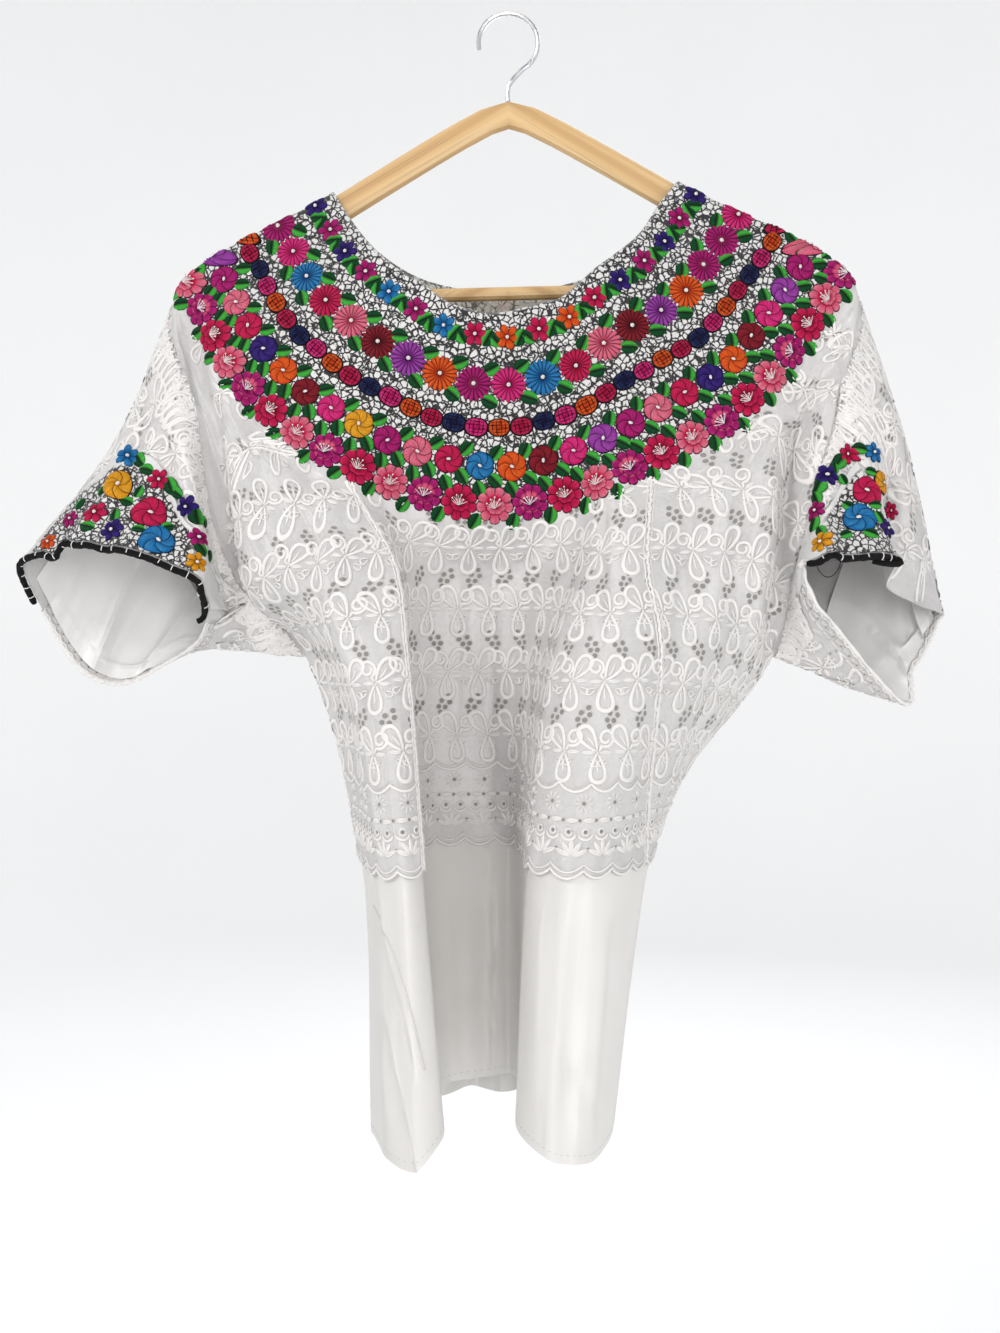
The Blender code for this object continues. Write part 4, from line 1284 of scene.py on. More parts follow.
class Finish:
    """One material and its nodes while they are put together."""

    def __init__(self, name, **sockets):
        self.material = bpy.data.materials.new(name)
        self.material.use_nodes = True
        self.tree = self.material.node_tree
        self.shader = self.tree.nodes["Principled BSDF"]
        for socket, value in sockets.items():
            self.shader.inputs[socket.replace("_", " ")].default_value = value

    def node(self, kind, settings=(), **inputs):
        made = self.tree.nodes.new("ShaderNode" + kind)
        for key, value in dict(settings).items():
            setattr(made, key, value)
        for key, value in inputs.items():
            key = int(key[1:]) if key[0] == "i" and key[1:].isdigit() else key.replace("_", " ")
            if isinstance(value, bpy.types.NodeSocket):
                self.tree.links.new(value, made.inputs[key])
            else:
                made.inputs[key].default_value = value
        return made

    def math(self, operation, *values):
        inputs = {f"i{k}": value for k, value in enumerate(values)}
        return self.node("Math", {"operation": operation}, **inputs).outputs[0]

    def spot(self, source="Object"):
        return self.node("TexCoord").outputs[source]

    def stretched(self, source, scale):
        return self.node("Mapping", Vector=source, Scale=scale).outputs[0]

    def noise(self, source, scale, detail=2.0, roughness=0.5):
        return self.node("TexNoise", Vector=source, Scale=scale, Detail=detail,
                         Roughness=roughness).outputs["Fac"]

    def ramp(self, source, *stops):
        """Value to value or colour: stops are place and colour or grey."""
        made = self.node("ValToRGB", Fac=source)
        elements = made.color_ramp.elements
        for k, (place, colour) in enumerate(stops):
            element = elements[k] if k < 2 else elements.new(place)
            element.position = place
            colour = (colour,) * 3 if isinstance(colour, (int, float)) else colour
            element.color = (*colour, 1)
        return made.outputs["Color"]

    def plus(self, first, second, share):
        """The first value and a share of the second."""
        return self.math("ADD", first, self.math("MULTIPLY", second, share))

    def shifted(self, source, by):
        return self.node("VectorMath", {"operation": "ADD"}, i0=source, i1=by).outputs[0]

    def bands(self, direction, source, scale, **inputs):
        return self.node("TexWave", {"wave_type": "BANDS", "bands_direction": direction},
                         Vector=source, Scale=scale, **inputs).outputs["Fac"]

    def carried(self, output):
        """The value or colour that the mesh carries."""
        return self.node("Attribute", {"attribute_name": "thread"}).outputs[output]

    def mix(self, share, first, second, blend="MIX"):
        made = self.tree.nodes.new("ShaderNodeMix")
        made.data_type = "RGBA"
        made.blend_type = blend
        for socket, value in ((made.inputs[0], share), (made.inputs[6], first),
                              (made.inputs[7], second)):
            if isinstance(value, bpy.types.NodeSocket):
                self.tree.links.new(value, socket)
            else:
                socket.default_value = value if socket.type == "VALUE" else (*value, 1)
        return made.outputs[2]

    def set(self, socket, value):
        self.tree.links.new(value, self.shader.inputs[socket])

    def bump(self, height, distance, strength=1.0):
        made = self.node("Bump", Height=height, Distance=distance, Strength=strength)
        self.set("Normal", made.outputs[0])

    def weave(self, period):
        """Crossing threads by the cloth's own uv, which runs in centimetres."""
        uv = self.spot("UV")
        sets = [self.bands(direction, uv, math.pi / period, Distortion=0.6, Detail=1.0,
                           Detail_Scale=2.0) for direction in ("X", "Y")]
        return self.math("MULTIPLY", *sets)


def cloth_finish(name, colour, shadow, period, sheen, wrinkle, pucker):
    """White cloth: fine weave, soft uneven tone and a little sheen. Lace puckers round its
    stitches, with painted shade in the hollows between the puckers; plain cloth wrinkles softly."""
    made = Finish(name, Roughness=0.78, Sheen_Weight=sheen, Sheen_Roughness=0.5)
    spot = made.spot()
    tone = made.noise(spot, 34, 3)
    fluff = made.noise(spot, 900, 2)
    weave = made.weave(period)
    base = made.mix(tone, shadow, colour)
    base = made.mix(made.math("MULTIPLY", weave, 0.10), base, shadow, "MULTIPLY")
    made.set("Base Color", base)
    height = made.plus(made.math("MULTIPLY", weave, 0.6), fluff, 0.5)
    if wrinkle:
        folds = made.noise(made.stretched(spot, (1.0, 1.0, 0.5)), 60, 3, 0.6)
        height = made.plus(height, folds, wrinkle)
    if pucker:
        small = made.noise(spot, 300, 2, 0.6)
        height = made.plus(height, small, pucker)
        # The puckers' hollows are darkened towards the shadow colour: painted shade
        pucker_shade = made.ramp(small, (0.36, 1.0), (0.54, 0.0))
        base = made.mix(made.math("MULTIPLY", pucker_shade, 0.16), base, shadow, "MULTIPLY")
        made.set("Base Color", base)
    made.bump(height, 0.0005 if pucker else 0.0004, 0.8)
    made.set("Roughness", made.ramp(fluff, (0.3, 0.70), (0.7, 0.85)))
    return made.material


def crackle(made, spot, scale, width):
    """Irregular net of fine dark stitches, 1 on a stitch."""
    noise = made.node("TexNoise", Vector=spot, Scale=scale * 1.6, Detail=1.0).outputs["Color"]
    bent = made.node("VectorMath", {"operation": "SCALE"}, i0=noise, Scale=0.5 / scale).outputs[0]
    cells = made.node("TexVoronoi", {"feature": "DISTANCE_TO_EDGE"},
                      Vector=made.shifted(spot, bent), Scale=scale).outputs["Distance"]
    return made.ramp(cells, (width * 0.6, 1.0), (width, 0.0))


def ground_finish(name, cloth, ink, faded):
    """White ground under a net of irregular dark stitches."""
    made = Finish(name, Roughness=0.7, Sheen_Weight=0.2, Sheen_Roughness=0.5)
    spot = made.spot()
    wide = crackle(made, spot, 225, 0.135)
    fine = crackle(made, made.shifted(spot, (0.4, 0.2, 0.7)), 250, 0.10)
    some = made.ramp(made.noise(spot, 260, 1), (0.50, 0.0), (0.57, 1.0))
    lines = made.math("MAXIMUM", wide, made.math("MULTIPLY", fine, some))
    if faded:
        worn = made.ramp(made.noise(spot, 170, 2), (0.44, 0.15), (0.6, 0.85))
        lines = made.math("MULTIPLY", lines, worn)
    else:
        lines = made.math("MULTIPLY", lines, made.carried("Fac"))
    tone = made.noise(spot, 420, 2)
    base = made.mix(tone, [c * 0.86 for c in cloth], cloth)
    if faded:
        patches = made.node("TexVoronoi", {"feature": "F1"}, Vector=spot, Scale=52)
        colour = made.mix(0.55, patches.outputs["Color"], (0.5, 0.10, 0.16))
        near = made.ramp(patches.outputs["Distance"], (0.22, 0.5), (0.36, 0.0))
        base = made.mix(made.math("MULTIPLY", near, made.noise(spot, 300, 2)), base, colour)
    base = made.mix(lines, base, ink)
    made.set("Base Color", base)
    made.bump(made.plus(lines, made.weave(0.06), 0.3), 0.0005, 0.8)
    return made.material


def thread_finish(name, roughness, sheen, contrast):
    """Satin stitches in the colour that the mesh carries, with strands along the stitch."""
    made = Finish(name, Roughness=roughness, Sheen_Weight=sheen, Sheen_Roughness=0.35,
                  Specular_IOR_Level=0.10)
    uv = made.spot("UV")
    strands = made.noise(made.stretched(uv, (2.1, 0.12, 1)), 1.0, 2, 0.6)
    fine = made.bands("X", uv, math.pi / 5.5, Distortion=1.2, Detail=1.0)
    tone = made.ramp(strands, (0.3, 1 - contrast), (0.68, 1.0))
    made.set("Base Color", made.mix(1.0, made.carried("Color"), tone, "MULTIPLY"))
    made.bump(made.plus(strands, fine, 0.6), 0.00025, 0.9)
    made.set("Roughness", made.ramp(strands, (0.3, roughness + 0.15), (0.7, roughness - 0.05)))
    return made.material


def wood_finish():
    """Pale golden wood: grain along each arm, fine pores and a soft varnish."""
    made = Finish("wood_grain", Roughness=0.42, Coat_Weight=0.25, Coat_Roughness=0.25)
    spot = made.spot()
    parts = made.node("SeparateXYZ", Vector=spot)
    reach = made.math("ABSOLUTE", parts.outputs["X"])
    level = made.plus(parts.outputs["Z"], reach, 0.605)
    grain = made.node("CombineXYZ", X=made.math("MULTIPLY", parts.outputs["X"], 5.0),
                      Y=made.math("MULTIPLY", parts.outputs["Y"], 60.0),
                      Z=made.math("MULTIPLY", level, 95.0)).outputs[0]
    bent = made.noise(grain, 0.35, 3)
    rings = made.bands("Z", grain, 0.16, Distortion=5.0, Detail=3.0, Detail_Scale=0.5)
    pores = made.noise(made.stretched(grain, (1.0, 6.0, 6.0)), 1.4, 3, 0.7)
    base = made.ramp(rings, (0.0, (0.45, 0.27, 0.11)), (0.45, (0.57, 0.37, 0.165)),
                     (1.0, (0.64, 0.44, 0.22)))
    base = made.mix(made.math("MULTIPLY", bent, 0.5), base, (0.52, 0.32, 0.13))
    dark = made.ramp(pores, (0.30, 0.72), (0.46, 1.0))
    made.set("Base Color", made.mix(1.0, base, dark, "MULTIPLY"))
    made.bump(made.plus(pores, rings, 0.4), 0.0002, 0.5)
    made.set("Roughness", made.ramp(pores, (0.3, 0.55), (0.6, 0.36)))
    return made.material


def steel_finish():
    """Bright drawn wire with fine lines along it."""
    made = Finish("steel_wire", Base_Color=(0.62, 0.63, 0.65, 1), Metallic=1.0, Roughness=0.3)
    spot = made.spot()
    lines = made.noise(made.stretched(spot, (900, 900, 60)), 1.0, 2)
    made.set("Roughness", made.ramp(lines, (0.3, 0.2), (0.7, 0.42)))
    made.set("Base Color", made.ramp(made.noise(spot, 60, 3), (0.3, (0.52, 0.53, 0.55)),
                                     (0.7, (0.68, 0.69, 0.71))))
    made.bump(lines, 0.00008, 0.4)
    return made.material


def binding_finish():
    """Black tape wrapped with thread."""
    made = Finish("binding_tape", Roughness=0.7, Sheen_Weight=0.02, Sheen_Roughness=0.4,
                  Specular_IOR_Level=0.12)
    spot, uv = made.spot(), made.spot("UV")
    wrap = made.bands("DIAGONAL", uv, math.pi / 1.1, Distortion=1.5, Detail=2.0)
    tone = made.noise(spot, 700, 3)
    made.set("Base Color", made.ramp(tone, (0.3, (0.002, 0.002, 0.003)), (0.75, (0.014, 0.013, 0.015))))
    made.bump(made.plus(wrap, tone, 0.5), 0.0005, 0.9)
    made.set("Roughness", made.ramp(tone, (0.3, 0.55), (0.7, 0.8)))
    return made.material


def stage_finish():
    """Plain pale matt floor."""
    made = Finish("stage_paper", Roughness=0.95, Specular_IOR_Level=0.05,
                  Emission_Color=(0.98, 0.99, 1.0, 1), Emission_Strength=STAGE_GLOW)
    tone = made.noise(made.spot(), 1.2, 2)
    made.set("Base Color", made.ramp(tone, (0.3, 0.62), (0.7, 0.64)))
    return made.material


def tube_parts(path, radius, sides, closed=False):
    """Points, stitch uv and triangles of a round tube along a path."""
    path = np.asarray(path, float)
    count = len(path)
    radius = np.broadcast_to(radius, count)
    ahead = heading(path, closed)
    along = lengths(path)
    across = np.cross(ahead[0], ANY_WAY)
    points, uv = [], []
    for k in range(count):
        across = across - ahead[k] * (across @ ahead[k])
        across /= np.linalg.norm(across)
        up = np.cross(ahead[k], across)
        for side in range(sides):
            angle = 2 * math.pi * side / sides
            points.append(path[k] + (across * math.cos(angle) + up * math.sin(angle)) * radius[k])
            uv.append((along[k], radius[k] * angle))
    index = numbered(count, sides + 1, True)
    if closed:
        index = np.concatenate([index, index[:1]])
        return np.array(points), np.array(uv), quads(index, True)
    faces = [quads(index, True)]
    for ring, centre, swap in ((0, path[0], False), (count - 1, path[-1], True)):
        points.append(centre)
        uv.append((0, 0))
        a = ring * sides + np.arange(sides)
        b = ring * sides + (np.arange(sides) + 1) % sides
        cap = np.stack([np.full(sides, len(points) - 1), b, a], 1)
        faces.append(cap[:, ::-1] if swap else cap)
    return np.array(points), np.array(uv), np.concatenate(faces)


def add_tubes(name, tubes, material, colour="white", tone=LIGHT):
    """One mesh from several tubes: path, radius, sides, closed."""
    points, uv, faces = zip(*(tube_parts(*tube) for tube in tubes))
    faces, points = stacked(faces, points), np.concatenate(points)
    colours = np.tile(linear(THREADS[colour][tone]), (len(points), 1))
    return add_mesh(name, points, faces, [material], np.concatenate(uv), colours, sharp=60)


def dress(piece, slot, *nodes):
    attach(piece, "root")
    if nodes:
        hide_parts(*nodes)
    return piece


def cloth(name, node, slot, *arguments, **named):
    """A wall of cloth that stands for one node."""
    dress(wall(name, *arguments, **named), slot, node)


def spread(field, row, first, last, amount):
    """Columns at even distances along one row, between two columns."""
    columns = np.linspace(first, last, 4 * int(abs(last - first)) + 1)
    points = field.place(np.full(len(columns), float(row)), columns)
    along = lengths(points)
    wanted = along[-1] * (np.arange(amount) + 0.5) / amount
    return np.interp(wanted, along, columns), along[-1] / amount


def embroider_yoke(ring, split, last, material):
    """Rows of flowers and leaves round the yoke, front and back."""
    library = {"small": small_flower(), "daisy": daisy(), "wheel": wheel(), "bead": bead()}
    peonies = [peony(seed) for seed in (3, 8, 14)]
    random = np.random.default_rng(21)
    made = []
    for side, first, final in (("front", 0, split), ("back", split, last)):
        stitches = Stitches()
        for kind, place, front_count, back_count, colours in YOKE_ROWS:
            amount = front_count if side == "front" else back_count
            row = place * ROW["edge"]
            columns, pitch = spread(ring, row, first, final, amount)
            begin = 0 if side == "front" else front_count
            names = [colours[(begin + k) % len(colours)] for k in range(amount)]
            rows = row + random.uniform(-0.15, 0.15, amount)
            sizes = random.uniform(0.96, 1.04, amount)
            fit = min(1.08, pitch / FLOWER_PITCH[kind])
            for leaf_kind, along, down, turn, length in YOKE_LEAVES:
                if leaf_kind != kind:
                    continue
                shape = leaf(length).turned(shift=(-length / 2, 0)).turned(turn)
                shift = np.full(amount, along * pitch)
                leaf_rows, leaf_columns = ring.moved(rows, columns, shift[:, None],
                                                     np.full((amount, 1), down))
                keep = (leaf_columns[:, 0] < final + 2) | (side == "back")
                stitches.lay(ring, shape, leaf_rows[keep, 0], np.mod(leaf_columns[keep, 0], last),
                             "leaf", turn=random.uniform(-9, 9, amount)[keep], wrap=True,
                             inside=lambda r, c: r > 0.5)
            if kind == "peony":
                for k in range(amount):
                    shape = peonies[(begin + k) % 3]
                    stitches.lay(ring, shape, rows[k], columns[k], names[k], wrap=True,
                                 turn=random.uniform(-14, 14), scale=sizes[k] * fit)
            else:
                turns = random.uniform(0, 360, amount) if kind != "bead" else None
                stitches.lay(ring, library[kind], rows, columns, names, wrap=True, turn=turns,
                             scale=sizes * fit, inside=lambda r, c: r > 0.4)
        made.append(stitches.make(f"yoke_{side}_flowers", material))
    return made


def in_photo(points):
    """Pixels, across and down, at which the photograph shows points."""
    depth = points[..., 1] - CAMERA.y
    return (FRAME_WIDTH / 2 + (points[..., 0] - CAMERA.x) * FOCAL_PX / depth,
            FRAME_HEIGHT / 2 - (points[..., 2] - CAMERA.z) * FOCAL_PX / depth)


def spot_in_photo(field, x, y):
    """Place on a field that the photograph shows at a pixel."""
    px, py = in_photo(field.points)
    miss = np.hypot(px - x, py - y) + HIDDEN_MISS * (field.normals[..., 1] > 0.1)
    r, c = np.unravel_index(np.argmin(miss), miss.shape)
    r0, c0 = min(max(r, 1), field.last_row - 1), min(max(c, 1), field.last_column - 1)
    jacobian = np.array([[px[r0, c0 + 1] - px[r0, c0 - 1], px[r0 + 1, c0] - px[r0 - 1, c0]],
                         [py[r0, c0 + 1] - py[r0, c0 - 1], py[r0 + 1, c0] - py[r0 - 1, c0]]]) / 2
    step = np.linalg.solve(jacobian, (x - px[r0, c0], y - py[r0, c0]))
    return r0 + np.clip(step[1], -1, 1), c0 + np.clip(step[0], -1, 1)


def net_share(side, field, rows, columns):
    """1 where a patch carries the net of dark stitches, 0 on its plain rim and end."""
    px, _ = in_photo(field.points[np.ix_(rows, columns)])
    limit, way = NET_ENDS[side]
    below_rim = np.arange(len(rows)) >= NET_FIRST_ROW
    return smooth_step((px - limit) * way / NET_FADE_PX) * below_rim[:, None]


def lattice(field, base_row, columns, anchor, levels, stagger):
    """Places of a repeat on the cloth: rows at even heights above a base row, even along them."""
    heights = heights_above(field, base_row)
    numbers = np.arange(field.last_row + 1)
    across = np.arange(columns[0], columns[1] + 1)
    rows_out, columns_out, order = [], [], []
    for k, level in enumerate(levels):
        line = np.array([np.interp(level, heights[::-1, c], numbers[::-1]) for c in across])
        points = field.place(line, across.astype(float))
        along = lengths(points)
        along -= np.interp(anchor, across, along)
        first = math.floor(along[0] / LACE_ACROSS) - 1
        last = math.ceil(along[-1] / LACE_ACROSS) + 1
        wanted = (np.arange(first, last) + 0.5 + stagger * k) * LACE_ACROSS
        wanted = wanted[(wanted > along[0] - LACE_PAST_END) & (wanted < along[-1] + LACE_PAST_END)]
        places = np.interp(wanted, along, across)
        over = np.clip(wanted - along[-1], 0, None) + np.clip(wanted - along[0], None, 0)
        rows_out.append(np.interp(places, across, line))
        columns_out.append(places + over / np.mean(np.diff(along)))
        order.append(np.full(len(wanted), k))
    return np.concatenate(rows_out), np.concatenate(columns_out), np.concatenate(order)


def lace_relief(stitches, field, base_row, top_row, columns, anchor, levels, bare=None):
    """Satin repeats of the lace inside one panel; none below and between the bare places."""
    levels = np.arange(*levels, LACE_DOWN)

    def inside(rows, places):
        kept = ((rows > top_row) & (rows < base_row) & (places > columns[0])
                & (places < columns[1]))
        if bare:
            kept &= (rows < bare[0]) | (places < bare[1]) | (places > bare[2])
        return kept

    rows, places, order = lattice(field, base_row, columns, anchor, levels, LACE_STAGGER)
    for parity in (0, 1):
        chosen = order % 2 == parity
        stitches.lay(field, lace_repeat(bool(parity)), rows[chosen], places[chosen], "white",
                     inside=inside)


def hem_run(field, across, anchor):
    """Distance along the hem from the anchor column, in mm, at column places across."""
    along = field.along[ROW["hem"]]
    return np.interp(across, np.arange(field.last_column + 1), along) - along[anchor]


def hem_places(field, columns, anchor):
    """Grid of places of a panel from the yoke to the scalloped hem."""
    step = 1.0 if field.flip else 0.5
    across = np.arange(columns[0], columns[1] + step / 2, step)
    wave = scallop(hem_run(field, across, anchor))
    ends = line_at(field, ROW["hem"], across, HEM_RAISE - wave)
    rows = np.arange(ROW["edge"], ROW["hem"] - HEM_ROWS + 1)
    upper = np.repeat(rows[:, None].astype(float), len(across), 1)
    shares = np.arange(1, HEM_ROWS + 1)[:, None] / HEM_ROWS
    lower = rows[-1] + (ends[None, :] - rows[-1]) * shares
    places = np.concatenate([upper, lower])
    return places, np.repeat(across[None, :], len(places), 0)


def corded_seam(field, column):
    """Puckered cord down a seam of the front."""
    rows = np.arange(ROW["edge"] + 1, ROW["hem"], 0.4)
    columns = np.full(len(rows), float(column))
    points, normals = field.place(rows, columns), field.out(rows, columns)
    run = unit(field.steps(rows, columns)[0])
    wobble = np.sin(rows * 5.1) * 0.5 + np.sin(rows * 1.7) * 0.4
    path = points + normals * 0.5 + run * wobble[:, None]
    tubes = [(path, 1.15 + 0.3 * np.sin(rows * 7.3), 7, False)]
    for aside in (-2.4, 2.4):
        beside = points + normals * 0.1 + run * (aside + wobble[:, None] * 0.6)
        tubes.append((beside, 0.6 + 0.25 * np.sin(rows * 6.1 + aside), 5, False))
    return tubes


def binding_path(field, first, last):
    """Middle line of the binding along a cuff, its way up the sleeve and its way along."""
    columns = np.mod(np.arange(first, last + 0.01, 0.5), field.last_column)
    rows = np.full(len(columns), float(field.last_row))
    cuff, above = field.place(rows, columns), field.place(rows - 2, columns)
    along = heading(cuff)
    inward = above - cuff
    inward = unit(inward - along * (inward * along).sum(1)[:, None])
    path = cuff - field.out(rows, columns) * (LACE / 2) - inward * (BINDING_RADIUS + BINDING_GAP)
    return path, inward, along


def bind_cuff(side, field, black, thread):
    """Black tape along a cuff's front edge, its turned or hooked end, and its white stitches."""
    first, last = (place * RING_REFINE for place in BINDING_COLUMNS[side])
    path, inward, along = binding_path(field, first - BINDING_WRAP[side],
                                       last + BINDING_LONGER[side])
    places = np.arange(len(path))
    radius = BINDING_RADIUS * (0.96 + 0.07 * np.sin(places * 2.1) + 0.05 * np.sin(places * 0.77))
    radius[[0, -1]] *= 0.8
    tapes = [(path, radius, 12, False)]
    if side == "right":
        turned = np.array([path[0] - along[0] * ahead - inward[0] * below
                           for ahead, below in TURNED_END])
        tapes.append((turned, BINDING_RADIUS * 0.85, 12, False))
        share = np.linspace(0, 1, 16)[:, None]
        start, end = path[list(LOOSE_THREAD)]
        sag = np.array((0, 0.15, 1)) * LOOSE_DROP * (4 * share * (1 - share)) ** 0.7
        tapes.append((start + (end - start) * share - sag, 0.3, 5, False))
    else:
        tapes.append((path[-1] + np.array(HOOKED_END), BINDING_RADIUS * 0.85, 12, False))
    dress(add_tubes(f"binding_tape_{side}", tapes, black, "black"), "binding", f"binding_{side}")
    length = lengths(path)
    tubes = []
    random = np.random.default_rng(5)
    for place in np.arange(5, length[-1] - 5, STITCH_GAP):
        place += random.uniform(-2, 2)
        k = np.array([np.interp(place, length, path[:, axis]) for axis in range(3)])
        near = int(np.argmin(np.abs(length - place)))
        up, run = inward[near], along[near]
        front = np.cross(up, run)
        front *= -np.sign(front[1]) if abs(front[1]) > 0.2 else 1
        lean = random.uniform(-0.5, 0.5)
        slant = random.uniform(-0.6, 0.6)
        angles = np.radians(np.linspace(*sorted(random.uniform((-95, 25), (-30, 95))), 8))
        arc = [k + (up * math.sin(a) + front * math.cos(a)) * (BINDING_RADIUS + 0.3)
               + run * (lean + slant * math.sin(a)) for a in angles]
        tubes.append((arc, 0.34, 5, False))
    dress(add_tubes(f"binding_stitches_{side}", tubes, thread), "binding")


def lining_field(field):
    """The sleeve's surface with the lining's own creases pressed inwards."""
    rows, columns = np.meshgrid(np.arange(field.last_row + 1) / field.last_row,
                                np.arange(field.last_column + 1) / field.last_column,
                                indexing="ij")
    first, last = (c * RING_REFINE / field.last_column for c in LINING_COLUMNS)
    around = (columns - first) / (last - first)
    moved = np.zeros(rows.shape)
    for start, end, width, depth in LINING_CREASES:
        offset = np.stack([around, rows], -1) - start
        moved += fold(offset, np.subtract(end, start), width, depth, LINING_SPAN)
    return Field(field.points - field.normals * moved[..., None], field.normals, field.flip)


def trim_repeat():
    """Narrow lace trim along the back half of a cuff: small loops and holes above an edge."""
    half = TRIM_LENGTH / 2
    run = np.linspace(-half, half, 8)
    wave = 1.6 * np.abs(np.sin(math.pi * (run + half) / TRIM_LENGTH))
    # The leaves' grey rims and dark veins are painted shade
    leaf_shape = spindle(5.2, 2.7, 1.2, (HEART_AND_PAINTED_SHADE, LIGHT, DARK, LIGHT), steps=4)
    return joined([ribbon(np.stack([run, wave - 2.6], 1), 2.4, 1.2, LIGHT, ends=False),
                   ribbon(np.stack([run, -9.5 + 0 * run], 1), 1.6, 0.9, LIGHT, ends=False),
                   leaf_shape.turned(-55, shift=(-3.4, -3.4)),
                   leaf_shape.turned(-125, shift=(3.4, -3.4)),
                   leaf_shape.turned(-90, shift=(0, -3.0)),
                   eyelet(0.7).turned(shift=(5.2, -6.0))])


def extend_down(front, back, rows):
    """The yoke's ring with some rows of the body below it."""
    return Field(np.concatenate([front.points[:rows], back.points[:rows, -2::-1]], 1),
                 np.concatenate([front.normals[:rows], back.normals[:rows, -2::-1]], 1), False)


def line_at(field, base_row, columns, level):
    """Rows at which the cloth lies at a level above a base row, one for each column place."""
    heights = heights_above(field, base_row)
    numbers = np.arange(field.last_row + 1)
    whole = np.arange(int(math.floor(columns[0])), int(math.ceil(columns[-1])) + 1)
    level = np.broadcast_to(level, len(columns))
    result = []
    for place, wanted in zip(columns, level):
        c = int(min(math.floor(place), whole[-1] - 1))
        rows = [np.interp(wanted, heights[::-1, k], numbers[::-1]) for k in (c, c + 1)]
        result.append(rows[0] + (rows[1] - rows[0]) * (place - c))
    return np.array(result)


def stitch_line(stitches, field, rows, columns, width, height, tone, lift=0.0):
    """Continuous satin line on a field through the given places."""
    points, normals = field.place(rows, columns), unit(field.out(rows, columns))
    aside = np.cross(normals, heading(points))
    along = lengths(points)
    made, uv = [], []
    for share, level in ((-0.5, -0.15), (-0.26, height), (0.26, height), (0.5, -0.15)):
        made.append(points + aside * (width * share) + normals * (level + lift))
        uv.append(np.stack([along, np.full(len(along), width * share)], 1))
    # The white's dark tone along both sides is painted shade at the satin's edges
    tones_with_painted_shade = linear([THREADS["white"][k] for k in (DARK, tone, tone, DARK)])
    stitches.add(np.stack(made, 1).reshape(-1, 3), np.tile(tones_with_painted_shade, (len(points), 1)),
                 np.stack(uv, 1).reshape(-1, 2), quads(numbered(len(points), 4)))


def add_border(stitches, field, columns, anchor):
    """Scalloped lines and rows of holes and leaves above the hem of a panel."""
    across = np.arange(columns[0] + 0.3, columns[1] - 0.3, 0.4)
    wave = scallop(hem_run(field, across, anchor))
    for level, width, height, tone in BORDER_LINES:
        rows = line_at(field, ROW["hem"], across, HEM_RAISE + level - wave)
        stitch_line(stitches, field, rows, across, width, height, tone)

    def inside(rows, places):
        return (places > columns[0] + 0.2) & (places < columns[1] - 0.2)

    for level, shape in border_bands():
        rows, places, _ = lattice(field, ROW["hem"], columns, anchor, [HEM_RAISE + level], 0)
        stitches.lay(field, shape, rows, places, "white", inside=inside)


def add_trim(stitches, field, columns, under):
    """Lace trim along the back half of a cuff, outside or on the folded-in edge inside."""
    places, pitch = spread(field, field.last_row - 0.2, *columns, TRIM_REPEATS)
    rows = np.full(len(places), field.last_row - 0.15)

    def inside(row, place):
        return (row < field.last_row) & (place > columns[0] - 1) & (place < columns[1] + 1)

    stitches.lay(field, trim_repeat(), rows, np.mod(places, field.last_column), "white",
                 inside=inside, under=under, lift=LACE if under else 0, scale=pitch / TRIM_LENGTH)


def rolled_rim(side, field, columns, material):
    """Uneven rolled rim along the part of a cuff that has no binding."""
    places = np.arange(columns[0], columns[1], 0.35)
    rows = np.full(len(places), float(field.last_row))
    path = field.place(rows, places) - field.out(rows, places) * (LACE / 2)
    radius = 1.5 + 0.35 * np.sin(places * 4.3) + 0.25 * np.sin(places * 1.9)
    return add_tubes(f"cuff_rim_{side}", [(path, radius, 7, False)], material)


def hem_stitching(front, back, material):
    """Row of small stitches above the edge of the plain tail."""
    dash = ribbon([(-1.2, 0), (0, 0), (1.2, 0)], 0.55, 0.3, MAIN)
    stitches = Stitches()
    for field in (front, back):
        columns, _ = spread(field, ROW["tail"] - 1, 0.5, field.last_column - 0.5,
                            TAIL_STITCHES)
        rows = line_at(field, ROW["tail"], columns, TAIL_HEM)
        stitches.lay(field, dash, rows, columns, "white", lift=UNDER_LIFT - 0.02)
    spots = [spot_in_photo(front, x, y) for x, y in TAIL_EDGE]
    rows, columns = (np.array([spot[k] for spot in spots]) for k in (0, 1))
    fine = np.linspace(0, len(spots) - 1, 60)
    whole = np.arange(len(spots))
    stitch_line(stitches, front, np.interp(fine, whole, rows), np.interp(fine, whole, columns),
                1.6, 0.5, MAIN, lift=UNDER_LIFT)
    dress(stitches.make("tail_stitches", material), "under_cloth")


def turn_in_photo(field, row, column, degrees):
    """Turn on the cloth that looks like the given turn in the photograph."""
    rows, columns = field.moved(np.full(3, row), np.full(3, column),
                                np.array([[0.0], [1.0], [0.0]]), np.array([[0.0], [0.0], [1.0]]))
    seen = np.stack(in_photo(field.place(rows[:, 0], columns[:, 0])), 1)
    basis = np.stack([seen[1] - seen[0], seen[2] - seen[0]], 1)
    angle = math.radians(degrees)
    local = np.linalg.solve(basis, (math.cos(angle), math.sin(angle)))
    return math.degrees(math.atan2(local[1], local[0]))


